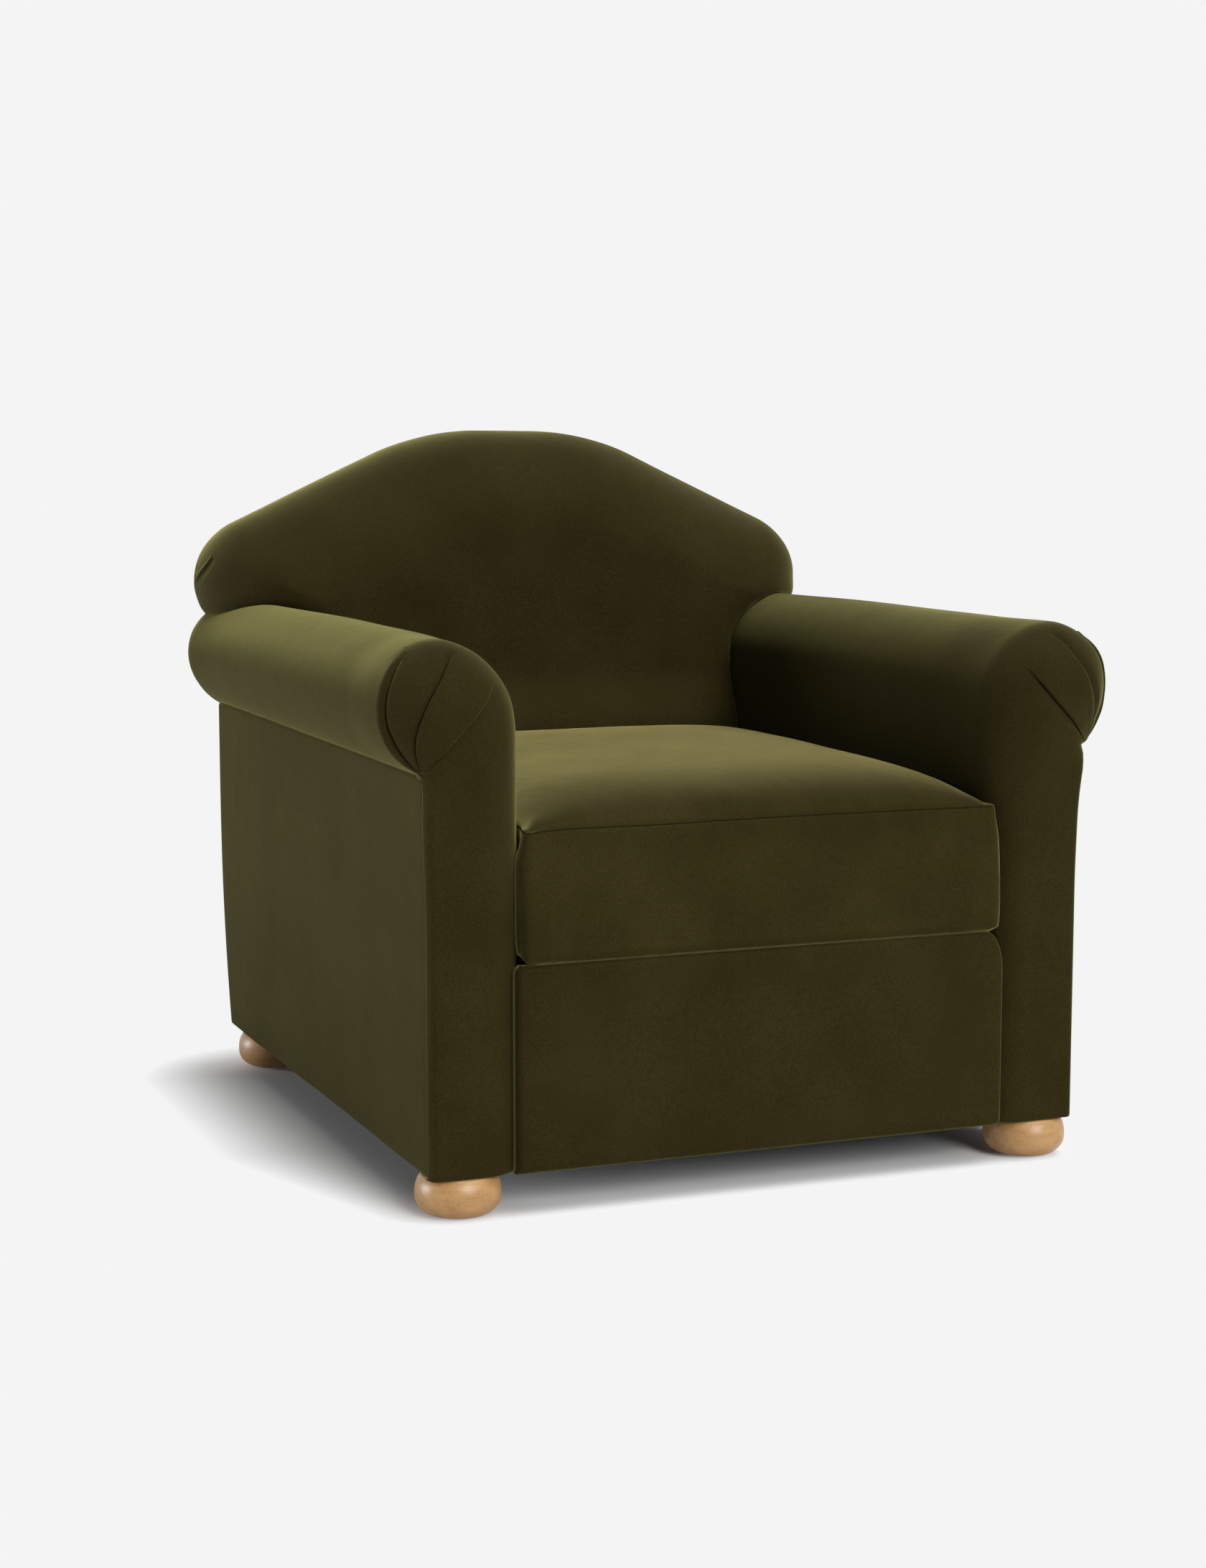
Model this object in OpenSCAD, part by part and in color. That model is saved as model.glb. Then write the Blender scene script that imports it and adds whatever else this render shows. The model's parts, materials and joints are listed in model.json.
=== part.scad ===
// Roll-arm accent chair with a camel back, a loose box cushion and four bun feet.
// The chair faces -Y, its left arm is at -X, and +Z is up. All sizes are millimetres.

/* [Overall] */
// Width across the outside arm panels
body_w = 844; // [824:2:880]
// Width of the seat between the inside arms
seat_w = 604; // [580:2:620]
// Height of the crest of the back
back_h = 904; // [880:2:940]
// Height of the lower edge of the covers above the floor
base_z = 50; // [44:1:60]
// Clearance between soft faces
gap = 0.3; // [0.2:0.05:0.5]

/* [Arms] */
// Radius of the arm roll
roll_r = 83; // [78:1:88]
// Height of the centre of the arm roll
roll_z = 590; // [580:1:610]
// Radius of the padded edge round the arm front
arm_edge_r = 38; // [34:1:42]
// Radius of the outer corner of the arm front
arm_seam_r = 8; // [5:1:9]
// Thickness of the padding on the arm front
facing_t = 18; // [15:1:20]
// Thickness of the padding inside the arm
arm_pad_t = 38; // [34:1:42]
// Thickness of the padding round the scroll boards
roll_pad_t = 21; // [18:1:24]
// Thickness of the outside arm and outside back panels
panel_t = 10; // [9:0.5:12]

/* [Back] */
// Width of the back at its shoulders
back_w = 915; // [895:1:930]
// Half of the flat stretch on top of the crest
crest_flat = 43; // [30:1:60]
// Radius of the crest curve
crest_r = 342; // [300:2:380]
// Slope of the back between crest and shoulder, in degrees
crest_slope = 24.7; // [22:0.1:27]
// Radius of the shoulders
shoulder_r = 90; // [82:1:100]
// How far the shoulders curl in above the arms
shoulder_curl = 10; // [6:1:14]
// Distance from the arm fronts to the face of the back
face_y = 768; // [750:1:780]
// Thickness of the back from its face to the outside back
back_t = 202; // [195:1:240]
// How far the face comes forward behind the cushion
lumbar = 28; // [20:1:34]
// Height up to which the face stays forward
lumbar_z0 = 480; // [460:5:500]
// Height at which the face has gone back
lumbar_z1 = 560; // [540:5:580]
// How far in from its outline the padded edge of the back starts
edge_in = 150; // [130:1:170]
// Depth from the face of the back to its outline
edge_depth = 169; // [150:1:176]
// Radius of the rolled bead behind the outline
bead_r = 30; // [26:1:32]
// How far the bead stands behind the outline
bead_depth = 55; // [48:1:60]
// Thickness of the padding over the crest rails
rim_t = 52; // [48:1:56]
// Forward rake of the outside back at its lower edge
rake = 45; // [30:1:55]
// Height at which the rake of the outside back starts
rake_z = 455; // [420:5:500]

/* [Seat] */
// Height of the underside of the cushion
cushion_z = 297; // [290:1:310]
// Thickness of the cushion from its underside to its top seam
cushion_t = 153; // [140:1:160]
// Rise of the cushion's crown above its top seam
cushion_crown = 55; // [44:1:60]
// Clearance between the cushion and the arms
cushion_gap = 2; // [1.5:0.5:4]
// How far the cushion's sides pull in between its corners
cushion_draw = 4; // [2:0.5:6]
// Thickness of the cushion cover
cover_t = 2; // [1.6:0.1:3]
// Length of the zip in the rear of the cushion cover
zip_l = 460; // [300:10:500]
// Width of the zip
zip_w = 24; // [16:1:32]
// How far the front border stands in front of the arms
border_proud = 9; // [6:0.5:11]
// How far the front border reaches past the seat on each side
border_lap = 16; // [13:1:18]
// Radius of the upper corners of the front border
border_r = 20; // [16:1:26]
// Thickness of the deck pad
deck_t = 18; // [14:1:20]

/* [Frame] */
// Thickness of the rails
rail_t = 28; // [24:1:30]
// Height of the seat rails
rail_h = 120; // [100:1:130]
// Height of the bottom rails
bottom_rail_h = 45; // [35:1:60]
// Thickness of the plywood scroll boards
scroll_t = 12; // [9:0.5:14]
// Depth of the front posts
front_post_d = 32; // [28:1:40]
// Thickness of the arm boards
arm_board_t = 25; // [20:1:28]
// Width of the arm boards
arm_board_w = 90; // [80:1:100]
// Thickness of the crest rails
crest_rail_t = 24; // [20:1:26]
// Height of the crest rails at their middle
crest_rail_h = 162; // [140:2:180]
// Distance from the arm rolls up to the crest rails
crest_rail_clear = 17; // [10:1:24]
// Height of the rail behind the cushion
lower_rail_h = 50; // [40:1:70]
// Length of the corner blocks along the rails
corner_leg = 80; // [60:1:100]
// Height of the corner blocks
corner_h = 80; // [60:1:90]
// Height of the foot blocks
block_h = 36; // [30:1:42]
// Length of the foot blocks
block_d = 70; // [64:1:90]
// Thickness of the dust cover
dust_t = 1.5; // [1:0.1:1.6]

/* [Springs] */
// Diameter of the spring wire
wire_d = 3.6; // [3.2:0.1:4]
// Width of a sinuous spring
spring_w = 50; // [44:1:56]
// Wanted pitch between the half loops
loop_pitch = 23; // [20:1:28]
// Thickness of the spring clips
clip_t = 1.5; // [1:0.1:2]
// Number of seat springs
seat_springs_n = 5; // [4:1:6]
// Number of back springs
back_springs_n = 4; // [3:1:5]

/* [Feet] */
// Widest radius of a bun foot
foot_r = 51; // [46:0.5:54]
// Height at which a foot is widest
foot_wide_z = 26; // [23:0.5:29]
// Distance from a foot's axis to the outside arm panel
foot_in_x = 46; // [44:0.5:50]
// Distance from the arm fronts to the front feet
foot_front_y = 39; // [37:0.5:50]
// Distance from the rear feet to the outside back
foot_rear_in = 111; // [100:1:130]
// Radius of the spigot on top of a foot
spigot_r = 20; // [16:0.5:20]
// Thickness of the glides
glide_t = 3; // [2:0.5:4]
// Radius of the glides
glide_r = 18; // [14:0.5:22]
// Radius of the hanger bolts
bolt_r = 4; // [3:0.5:5]
// Length of a hanger bolt inside its foot
bolt_foot_l = 26; // [20:1:30]
// Length of a hanger bolt inside its insert
bolt_block_l = 20; // [15:1:24]
// Wall of the inserts in the foot blocks
insert_t = 2; // [1.5:0.5:3]

/* [Hidden] */

velvet = [0.27, 0.26, 0.13];
velvet_side = [0.31, 0.33, 0.18];
beech = [0.80, 0.66, 0.46];
ply = [0.86, 0.74, 0.55];
oak = [0.76, 0.57, 0.34];
steel = [0.62, 0.63, 0.65];
cloth = [0.13, 0.13, 0.13];
foam = [0.93, 0.90, 0.80];
facets = 96;
small_facets = 32;

rear_y = face_y + back_t;

// Planes of the arms
in_x = seat_w / 2;
out_x = body_w / 2;
roll_x = in_x + roll_r;
panel_x = out_x - panel_t;
cavity_x = in_x + arm_pad_t;
post_x0 = cavity_x + gap;
rail_x1 = panel_x - gap;
rail_x0 = rail_x1 - rail_t;
post_w = rail_x0 - post_x0;
flange_y = 9.7;
roll_end_y = rear_y - panel_t - gap;
roll_drop = sqrt(pow(roll_r, 2) - pow(panel_x - roll_x, 2));
panel_top = roll_z - roll_drop - gap;
scroll_r = roll_r - roll_pad_t - gap;

// Planes of the frame
frame_y = facing_t + gap + scroll_t;
block_z0 = base_z + gap + dust_t + gap / 2;
block_z1 = block_z0 + block_h;
rail_top = cushion_z - gap - deck_t - gap - clip_t - wire_d;
rail_z0 = rail_top - rail_h;
deck_z0 = rail_top + wire_d + clip_t + gap;
deck_z1 = deck_z0 + deck_t;
arm_board_z0 = roll_z - 0.6 * arm_board_t;
front_post_y1 = frame_y + front_post_d;
back_cavity_y = face_y + 87;
post_y0 = back_cavity_y + gap + wire_d + gap + 3;
seat_rear_y = face_y - lumbar - 2;
arm_pad_z0 = rail_top + 2;
arm_pad_end_y = post_y0 - gap;
border_top = cushion_z - 2 * gap - 2;
border_x = in_x + border_lap;

// Outline of the back
back_x = back_w / 2;
outline_y = face_y + edge_depth;
crest_z = back_h - crest_r;
shoulder_x = back_x - shoulder_r;
shoulder_z = (sin(crest_slope) * (crest_flat - shoulder_x) + cos(crest_slope) * crest_z
    + crest_r - shoulder_r) / cos(crest_slope);
slope_z1 = crest_z + crest_r * cos(crest_slope);
slope_x1 = crest_flat + crest_r * sin(crest_slope);
slope_z0 = shoulder_z + shoulder_r * cos(crest_slope);
shoulder_foot_z = roll_z + 0.66 * roll_r;
crest_rail_z0 = back_h - rim_t - crest_rail_h;
crest_foot_z = max(crest_rail_z0, roll_z + roll_r + crest_rail_clear);
back_rear_y = outline_y + bead_depth;

// The origin is on the floor below the middle of the chair
front_most = min(-border_proud, foot_front_y - foot_r);
mid_y = (front_most + back_rear_y) / 2;
foot_x = out_x - foot_in_x;
foot_rear_y = rear_y - foot_rear_in;

// Distance along v seen in the sector of directions from a0 to a1 degrees
function in_sector(v, a0, a1) = let(a = atan2(v[1], v[0]))
    a < a0 ? v * [cos(a0), sin(a0)] : a > a1 ? v * [cos(a1), sin(a1)] : norm(v);

// Distance of a point of the back from the outline
function outline_depth(x, z) = let(p = [abs(x), z])
    max(0, min(crest_r - in_sector(p - [crest_flat, crest_z], 90 - crest_slope, 90),
        shoulder_r - in_sector(p - [shoulder_x, shoulder_z], 0, 90 - crest_slope)));

// Half width of the back at height z
function half_back(z) =
    z > slope_z1 ? crest_flat + sqrt(max(0, pow(crest_r, 2) - pow(z - crest_z, 2))) :
    z > slope_z0 ? slope_x1 + (slope_z1 - z) / tan(crest_slope) :
    z > shoulder_z ? shoulder_x + sqrt(pow(shoulder_r, 2) - pow(z - shoulder_z, 2)) :
    back_x - shoulder_curl * pow((shoulder_z - z) / (shoulder_z - shoulder_foot_z), 2);

// Outline of the back, drawn in by d, from one side over the crest to the other
function half_outline(d, z_low) = concat(
    [for (i = [0 : 6]) let(a = 90 - crest_slope * i / 6)
        [crest_flat + (crest_r - d) * cos(a), crest_z + (crest_r - d) * sin(a)]],
    [for (i = [0 : 8]) let(a = (90 - crest_slope) * (1 - i / 8))
        [shoulder_x + (shoulder_r - d) * cos(a), shoulder_z + (shoulder_r - d) * sin(a)]],
    [[back_x - d, z_low]]);
function both_sides(half) = concat(half,
    [for (i = [len(half) - 1 : -1 : 0]) [-half[i][0], half[i][1]]]);

// Rear face of the outside back at height z
function rear_at(z) = rear_y
    - rake * pow(max(0, (rake_z - z) / (rake_z - base_z)), 1.6);
// Points down the rear face from height z1 to z0, moved forward by t
function rear_points(z0, z1, t) = concat([[rear_at(z1) - t, z1]],
    [for (i = [0 : 8]) let(z = min(rake_z, z1) + (z0 - min(rake_z, z1)) * i / 8)
        [rear_at(z) - t, z]]);

module place() {
    translate([0, -mid_y, 0]) children();
}

// Extrudes a profile drawn in Y and Z along X
module yz_solid(x, w) {
    translate([x, 0, 0]) rotate([90, 0, 90]) linear_extrude(w) children();
}

// Extrudes a profile drawn in X and Z along Y
module xz_solid(y, d) {
    translate([0, y + d, 0]) rotate([90, 0, 0]) linear_extrude(d) children();
}

module box(x0, x1, y0, y1, z0, z1) {
    translate([x0, y0, z0]) cube([x1 - x0, y1 - y0, z1 - z0]);
}

module on_side(side) {
    if (side < 0) mirror([1, 0, 0]) children();
    else children();
}

// Joins rings of equally many points into one closed solid
module loft(rings) {
    n = len(rings[0]);
    m = len(rings);
    points = [for (r = rings) each r];
    polyhedron(points = points, faces = concat(
        [[for (i = [0 : n - 1]) i]],
        [[for (i = [n - 1 : -1 : 0]) (m - 1) * n + i]],
        [for (k = [0 : m - 2]) for (i = [0 : n - 1]) let(j = (i + 1) % n)
            each [[k * n + i, (k + 1) * n + i, (k + 1) * n + j],
                [k * n + i, (k + 1) * n + j, k * n + j]]]));
}

// Plan of the arm front: a wide padded corner inside, a tight seam corner outside
module arm_plan() {
    translate([in_x, arm_edge_r]) square([panel_x - in_x, arm_pad_end_y - arm_edge_r]);
    translate([in_x + arm_edge_r, 0]) square([panel_x - in_x - arm_edge_r, arm_edge_r + 1]);
    translate([in_x + arm_edge_r, arm_edge_r]) circle(arm_edge_r, $fn = facets);
    translate([in_x + arm_edge_r, 0])
        square([out_x - arm_seam_r - in_x - arm_edge_r, flange_y]);
    translate([panel_x - 1, arm_seam_r]) square([panel_t + 1, flange_y - arm_seam_r]);
    intersection() {
        translate([out_x - arm_seam_r, arm_seam_r]) circle(arm_seam_r, $fn = small_facets);
        translate([panel_x - 1, 0]) square([panel_t + 1, flange_y]);
    }
}

// Front view of the upright part of the arm
module arm_front() {
    polygon([[in_x, base_z], [out_x, base_z], [out_x, panel_top + 2 * gap],
        [roll_x + 0.15 * roll_r, roll_z - 0.45 * roll_r], [roll_x, roll_z], [in_x, roll_z]]);
}

// Arm roll along Y with a padded front edge
module arm_roll() {
    translate([roll_x, 0, roll_z]) rotate([-90, 0, 0]) {
        rotate_extrude($fn = facets) {
            square([roll_r - arm_edge_r, arm_edge_r]);
            intersection() {
                translate([roll_r - arm_edge_r, arm_edge_r]) circle(arm_edge_r, $fn = facets);
                square([roll_r, arm_edge_r]);
            }
        }
        translate([0, 0, arm_edge_r])
            cylinder(r = roll_r, h = roll_end_y - arm_edge_r, $fn = facets);
    }
}

// Inside arm: padding and cover over the inner wall, the roll and the arm front
module inside_arm(side) {
    color(velvet) place() on_side(side) difference() {
        union() {
            intersection() {
                translate([0, 0, base_z]) linear_extrude(roll_z - base_z) arm_plan();
                xz_solid(0, arm_pad_end_y) arm_front();
            }
            arm_roll();
        }
        box(cavity_x, panel_x, facing_t, rear_y, base_z - 1, arm_board_z0);
        box(cavity_x, post_x0 + arm_board_w + gap, facing_t, post_y0,
            arm_board_z0 - 1, arm_board_z0 + arm_board_t + gap);
        translate([roll_x, facing_t, roll_z]) rotate([-90, 0, 0])
            cylinder(r = scroll_r + gap, h = scroll_t + 2 * gap, $fn = facets);
        box(cavity_x, rail_x0 + gap, post_y0 - gap, rear_y, arm_board_z0 - 1, roll_z + roll_r + 1);
        box(in_x - 1, cavity_x + 1, frame_y - gap, rear_y, base_z - 1, arm_pad_z0);
        box(in_x - 1, border_x + gap, -1, frame_y, base_z - 1, border_top + gap);
    }
}

// Outside arm: a padded board that closes the side of the chair
module outside_arm(side) {
    color(velvet_side) place() on_side(side) yz_solid(panel_x, panel_t)
        polygon(concat([[flange_y + gap, base_z], [flange_y + gap, panel_top]],
            rear_points(base_z, panel_top, panel_t + gap)));
}

// Plywood board behind the arm front, with the outline of the scroll
module scroll_board(side) {
    color(ply) place() on_side(side) xz_solid(facing_t + gap, scroll_t) {
        translate([post_x0, block_z1])
            square([rail_x1 - post_x0, roll_z - block_z1]);
        translate([roll_x, roll_z]) circle(scroll_r, $fn = facets);
    }
}

module front_post(side) {
    color(beech) place() on_side(side)
        box(post_x0, rail_x0, frame_y, front_post_y1, block_z1, arm_board_z0);
}

// Rear upright, shaped to the rake of the outside back, and inside the padding above the arms
module rear_post(side) {
    padding = half_outline(rim_t + gap, min(shoulder_foot_z, shoulder_z) - gap);
    color(ply) place() on_side(side) intersection() {
        yz_solid(post_x0, post_w)
            polygon(concat([[post_y0, block_z1], [post_y0, crest_foot_z]],
                rear_points(block_z1, crest_foot_z, panel_t + gap)));
        xz_solid(post_y0 - 1, rear_y - post_y0) polygon(concat(
            [[0, block_z1], [post_x0 + post_w, block_z1],
                [post_x0 + post_w, padding[len(padding) - 1][1] - gap]],
            [for (i = [len(padding) - 1 : -1 : 0]) padding[i]], [[0, padding[0][1]]]));
    }
}

module arm_board(side) {
    color(beech) place() on_side(side)
        box(post_x0, post_x0 + arm_board_w, frame_y, post_y0,
            arm_board_z0, arm_board_z0 + arm_board_t);
}

// Side seat rail, lapped on the outer faces of both posts
module side_rail(side) {
    color(beech) place() on_side(side) yz_solid(rail_x0, rail_t)
        polygon(concat([[frame_y, rail_z0], [frame_y, rail_top]],
            rear_points(rail_z0, rail_top, panel_t + gap)));
}

module side_bottom_rail(side) {
    color(beech) place() on_side(side)
        box(rail_x0, rail_x1, foot_front_y + block_d / 2, foot_rear_y - block_d / 2,
            block_z0, block_z0 + bottom_rail_h);
}

module front_rail() {
    color(beech) place() box(-post_x0, post_x0, frame_y, front_post_y1, rail_z0, rail_top);
}

module rear_rail() {
    color(beech) place()
        box(-post_x0, post_x0, post_y0, post_y0 + rail_t, rail_z0, rail_top);
}

module front_bottom_rail() {
    color(beech) place()
        box(-post_x0, post_x0, frame_y, frame_y + rail_t, block_z0, block_z0 + bottom_rail_h);
}

module rear_bottom_rail() {
    rear_face = foot_rear_y + block_d / 2;
    color(beech) place()
        box(-post_x0, post_x0, rear_face - rail_t, rear_face, block_z0, block_z0 + bottom_rail_h);
}

module lower_back_rail() {
    color(beech) place()
        box(-post_x0, post_x0, post_y0, post_y0 + crest_rail_t,
            cushion_z, cushion_z + lower_rail_h);
}

// Camel-shaped board between the arm rolls and across the tops of the rear posts
module crest_board(y) {
    color(ply) place() xz_solid(y, crest_rail_t) intersection() {
        polygon(both_sides(half_outline(rim_t + gap, min(shoulder_z, crest_rail_z0) - 1)));
        union() {
            translate([-back_x, crest_foot_z]) square([2 * back_x, back_h]);
            translate([gap - in_x, crest_rail_z0]) square([2 * (in_x - gap), back_h]);
        }
    }
}

module crest_rail_front() {
    crest_board(post_y0);
}

module crest_rail_rear() {
    crest_board(rear_y - panel_t - crest_rail_t);
}

// Triangular blocks in the corners of the seat frame
module corner_blocks() {
    z0 = rail_z0 + (rail_h - corner_h) / 2;
    leg = corner_leg;
    color(beech) place() for (side = [-1, 1]) on_side(side)
        translate([0, 0, z0]) linear_extrude(corner_h) {
            polygon([[rail_x0, front_post_y1], [rail_x0, front_post_y1 + leg],
                [rail_x0 - leg, front_post_y1]]);
            polygon([[rail_x0, post_y0], [rail_x0 - leg, post_y0], [rail_x0, post_y0 - leg]]);
        }
}

module each_foot() {
    for (side = [-1, 1]) for (y = [foot_front_y, foot_rear_y])
        translate([side * foot_x, y, 0]) children();
}

// Hardwood blocks that carry the feet, drilled for the threaded inserts
module foot_blocks() {
    color(beech) place() difference() {
        for (side = [-1, 1]) on_side(side)
            for (y = [foot_front_y, foot_rear_y])
                box(post_x0, rail_x1, max(y - block_d / 2, facing_t + gap), y + block_d / 2,
                    block_z0, block_z1);
        each_foot() translate([0, 0, block_z0 - 1])
            cylinder(r = bolt_r + insert_t, h = block_h + 2, $fn = small_facets);
    }
}

// Brass inserts in the foot blocks
module foot_inserts() {
    color([0.75, 0.62, 0.35]) place() each_foot() translate([0, 0, block_z0]) difference() {
        cylinder(r = bolt_r + insert_t, h = bolt_block_l + 2, $fn = small_facets);
        translate([0, 0, -1]) cylinder(r = bolt_r, h = bolt_block_l + 4, $fn = small_facets);
    }
}

// Bolts that join the feet to the inserts
module hanger_bolts() {
    color(steel) place() each_foot() translate([0, 0, block_z0 - bolt_foot_l])
        cylinder(r = bolt_r, h = bolt_foot_l + bolt_block_l, $fn = small_facets);
}

// Radius of a bun foot at height z
function foot_profile(z) = let(h = z < foot_wide_z ? foot_wide_z + 3 : 38)
    foot_r * pow(1 - pow(abs(z - foot_wide_z) / h, 2.4), 1 / 2.4);

// Turned bun foot with a spigot that meets its block, and a blind hole for its bolt
module bun_foot(side, y) {
    top = base_z - gap;
    steps = 16;
    color(oak) place() translate([side * foot_x, y, 0]) difference() {
        rotate_extrude($fn = facets) polygon(concat([[0, glide_t]],
            [for (i = [0 : steps]) let(z = glide_t + (top - glide_t) * i / steps)
                [foot_profile(z), z]],
            [[spigot_r, top], [spigot_r, block_z0], [0, block_z0]]));
        translate([0, 0, block_z0 - bolt_foot_l - 2])
            cylinder(r = bolt_r, h = bolt_foot_l + 4, $fn = small_facets);
    }
}

module foot_glides() {
    color(cloth) place() each_foot() cylinder(r = glide_r, h = glide_t, $fn = small_facets);
}

// Back pad and cover: the face between the arms and the rolled camel-shaped edge
front_samples = 20;
rear_samples = 14;

function face_at(z) = let(t = min(1, max(0, (z - lumbar_z0) / (lumbar_z1 - lumbar_z0))))
    face_y - lumbar * (1 - t * t * (3 - 2 * t));
function edge_front(d) = let(t = 1 - min(d, edge_in) / edge_in)
    edge_depth * (1 - sqrt(1 - t * t));
function edge_rear(d) = let(t = min(1, d / bead_r))
    outline_y + bead_depth * sqrt(1 - pow(1 - t, 2));

function low_ring(z) = let(w = in_x - gap) concat(
    [for (i = [0 : front_samples]) let(a = -90 + 180 * i / front_samples)
        [w * sin(a), face_at(z) + 12 * pow(abs(sin(a)), 24), z]],
    [for (i = [0 : rear_samples]) let(a = 90 - 180 * i / rear_samples)
        [w * sin(a), back_cavity_y + 20, z]]);
function high_ring(z) = let(w = half_back(z)) concat(
    [for (i = [0 : front_samples]) let(x = w * sin(-90 + 180 * i / front_samples),
        d = min(outline_depth(x, z), w - abs(x)))
        [x, face_at(z) + edge_front(d), z]],
    [for (i = [0 : rear_samples]) let(x = w * sin(90 - 180 * i / rear_samples),
        d = min(outline_depth(x, z), w - abs(x)))
        [x, max(edge_rear(d), outline_y + 0.5), z]]);

module inside_back() {
    low = concat([cushion_z, (cushion_z + lumbar_z0) / 2],
        [for (i = [0 : 3]) lumbar_z0 + (lumbar_z1 - lumbar_z0) * i / 3], [shoulder_foot_z]);
    rise = back_h - shoulder_z;
    high = concat([shoulder_foot_z + gap, 0.5 * (shoulder_foot_z + shoulder_z)],
        [for (i = [0 : 14]) back_h - 0.6 - (rise - 0.6) * pow(1 - i / 14, 1.5)]);
    color(velvet) place() difference() {
        loft(concat([for (z = low) low_ring(z)], [for (z = high) high_ring(z)]));
        for (side = [-1, 1]) translate([side * roll_x, 0, roll_z]) rotate([-90, 0, 0])
            cylinder(r = roll_r + gap, h = roll_end_y + gap, $fn = facets);
        xz_solid(back_cavity_y, edge_depth + bead_depth)
            polygon(both_sides(half_outline(rim_t, cushion_z - 1)));
    }
}

// Outside back: a padded board that closes the rear inside the rolled edge
module outside_back() {
    wide_top = shoulder_foot_z - gap;
    color(velvet_side) place() intersection() {
        yz_solid(-out_x, body_w) polygon(concat(
            rear_points(base_z, back_h, 0),
            [for (p = [for (i = [8 : -1 : 0]) base_z + (rake_z - base_z) * (8 - i) / 8])
                [rear_at(p) - panel_t, p]],
            [[rear_y - panel_t, back_h]]));
        xz_solid(rear_y - 2 * rake - panel_t, 3 * rake + 2 * panel_t)
            polygon(both_sides(concat(half_outline(rim_t + gap, wide_top),
                [[out_x, wide_top], [out_x, base_z]])));
    }
}

// Padded border over the front rails
module front_border() {
    edge_r = 12;
    top_z = border_top;
    depth = frame_y - gap + border_proud;
    color(velvet) place() intersection() {
        xz_solid(-border_proud, depth) union() {
            translate([-border_x, base_z]) square([2 * border_x, top_z - border_r - base_z]);
            translate([-border_x + border_r, base_z])
                square([2 * (border_x - border_r), top_z - base_z]);
            for (side = [-1, 1]) translate([side * (border_x - border_r), top_z - border_r])
                circle(border_r, $fn = facets);
        }
        yz_solid(-border_x, 2 * border_x) union() {
            translate([-border_proud + edge_r, base_z]) square([depth - edge_r, top_z - base_z]);
            translate([-border_proud, base_z]) square([depth, top_z - edge_r - base_z]);
            translate([-border_proud + edge_r, top_z - edge_r]) circle(edge_r, $fn = small_facets);
        }
    }
}

// Padded deck under the cushion
module seat_deck() {
    color(velvet) place()
        box(-in_x + gap, in_x - gap, frame_y + gap, seat_rear_y, deck_z0, deck_z1);
}

module dust_cover() {
    front = frame_y;
    rear = rear_at(base_z) - panel_t - gap;
    z0 = base_z + gap;
    color(cloth) place() difference() {
        box(-rail_x1, rail_x1, front, rear, z0, z0 + dust_t);
        each_foot() translate([0, 0, z0 - 1])
            cylinder(r = spigot_r + gap, h = dust_t + 2, $fn = facets);
    }
}

// Plan of the cushion as a rounded rectangle whose sides pull in between the corners
corner_points = 5;
side_points = 6;
corner_r = 16;
seat_front_y = -3;
seat_mid_y = (seat_rear_y + seat_front_y) / 2;
seat_half_y = (seat_rear_y - seat_front_y) / 2;
seat_half_x = in_x - cushion_gap;
boxing_bulge = 1;
zip_mid_z = cushion_z + 0.5 * cushion_t;

function drawn(p, hx, hy) = [
    p[0] - sign(p[0]) * cushion_draw * (1 - pow(p[1] / hy, 2)) * pow(abs(p[0]) / hx, 4),
    p[1] - sign(p[1]) * cushion_draw * (1 - pow(p[0] / hx, 2)) * pow(abs(p[1]) / hy, 4)];
function quarter(hx, hy, r, a0) = [for (i = [0 : corner_points - 1])
    let(a = a0 + 90 * i / (corner_points - 1)) [cos(a), sin(a)] * r];
function plan(hx, hy, r) = let(
    centres = [[hx - r, hy - r], [r - hx, hy - r], [r - hx, r - hy], [hx - r, r - hy]],
    corners = [for (k = [0 : 3]) [for (q = quarter(hx, hy, r, 90 * k)) centres[k] + q]])
    [for (k = [0 : 3]) each concat(corners[k],
        let(a = corners[k][corner_points - 1], b = corners[(k + 1) % 4][0])
        [for (i = [1 : side_points]) a + (b - a) * i / (side_points + 1)])];

function crown_at(u, v) = cushion_crown
    * sqrt(max(0, (1 - pow(abs(u), 5)) * (1 - pow(abs(v), 5))));
function cushion_ring(inset, z, scale) = let(hx = seat_half_x - inset, hy = seat_half_y - inset)
    [for (p = plan(hx, hy, corner_r)) let(q = drawn(p, hx, hy) * scale)
        [q[0], q[1] + seat_mid_y, z + (scale < 1 ? crown_at(q[0] / hx, q[1] / hy) : 0)]];

// Box cushion: flat underside, upright boxing, a seam on top and a crown above it
module cushion(k) {
    seam_z = cushion_z + cushion_t;
    crown = [0.985, 0.955, 0.91, 0.84, 0.73, 0.58, 0.38, 0.16];
    loft(concat(
        [cushion_ring(14 + k, cushion_z + k, 1), cushion_ring(4 + k, cushion_z + 4 + k, 1),
            cushion_ring(k, cushion_z + 15 + k, 1),
            cushion_ring(k - boxing_bulge, zip_mid_z, 1),
            cushion_ring(k, seam_z - 8 - k, 1), cushion_ring(k, seam_z - k, 1)],
        [for (s = crown) cushion_ring(k, seam_z - k, s)]));
}

module cushion_cover() {
    color(velvet) place() difference() {
        cushion(0);
        cushion(cover_t);
        box(-zip_l / 2, zip_l / 2, seat_rear_y - 30, seat_rear_y + 10,
            zip_mid_z - zip_w / 2, zip_mid_z + zip_w / 2);
    }
}

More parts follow.
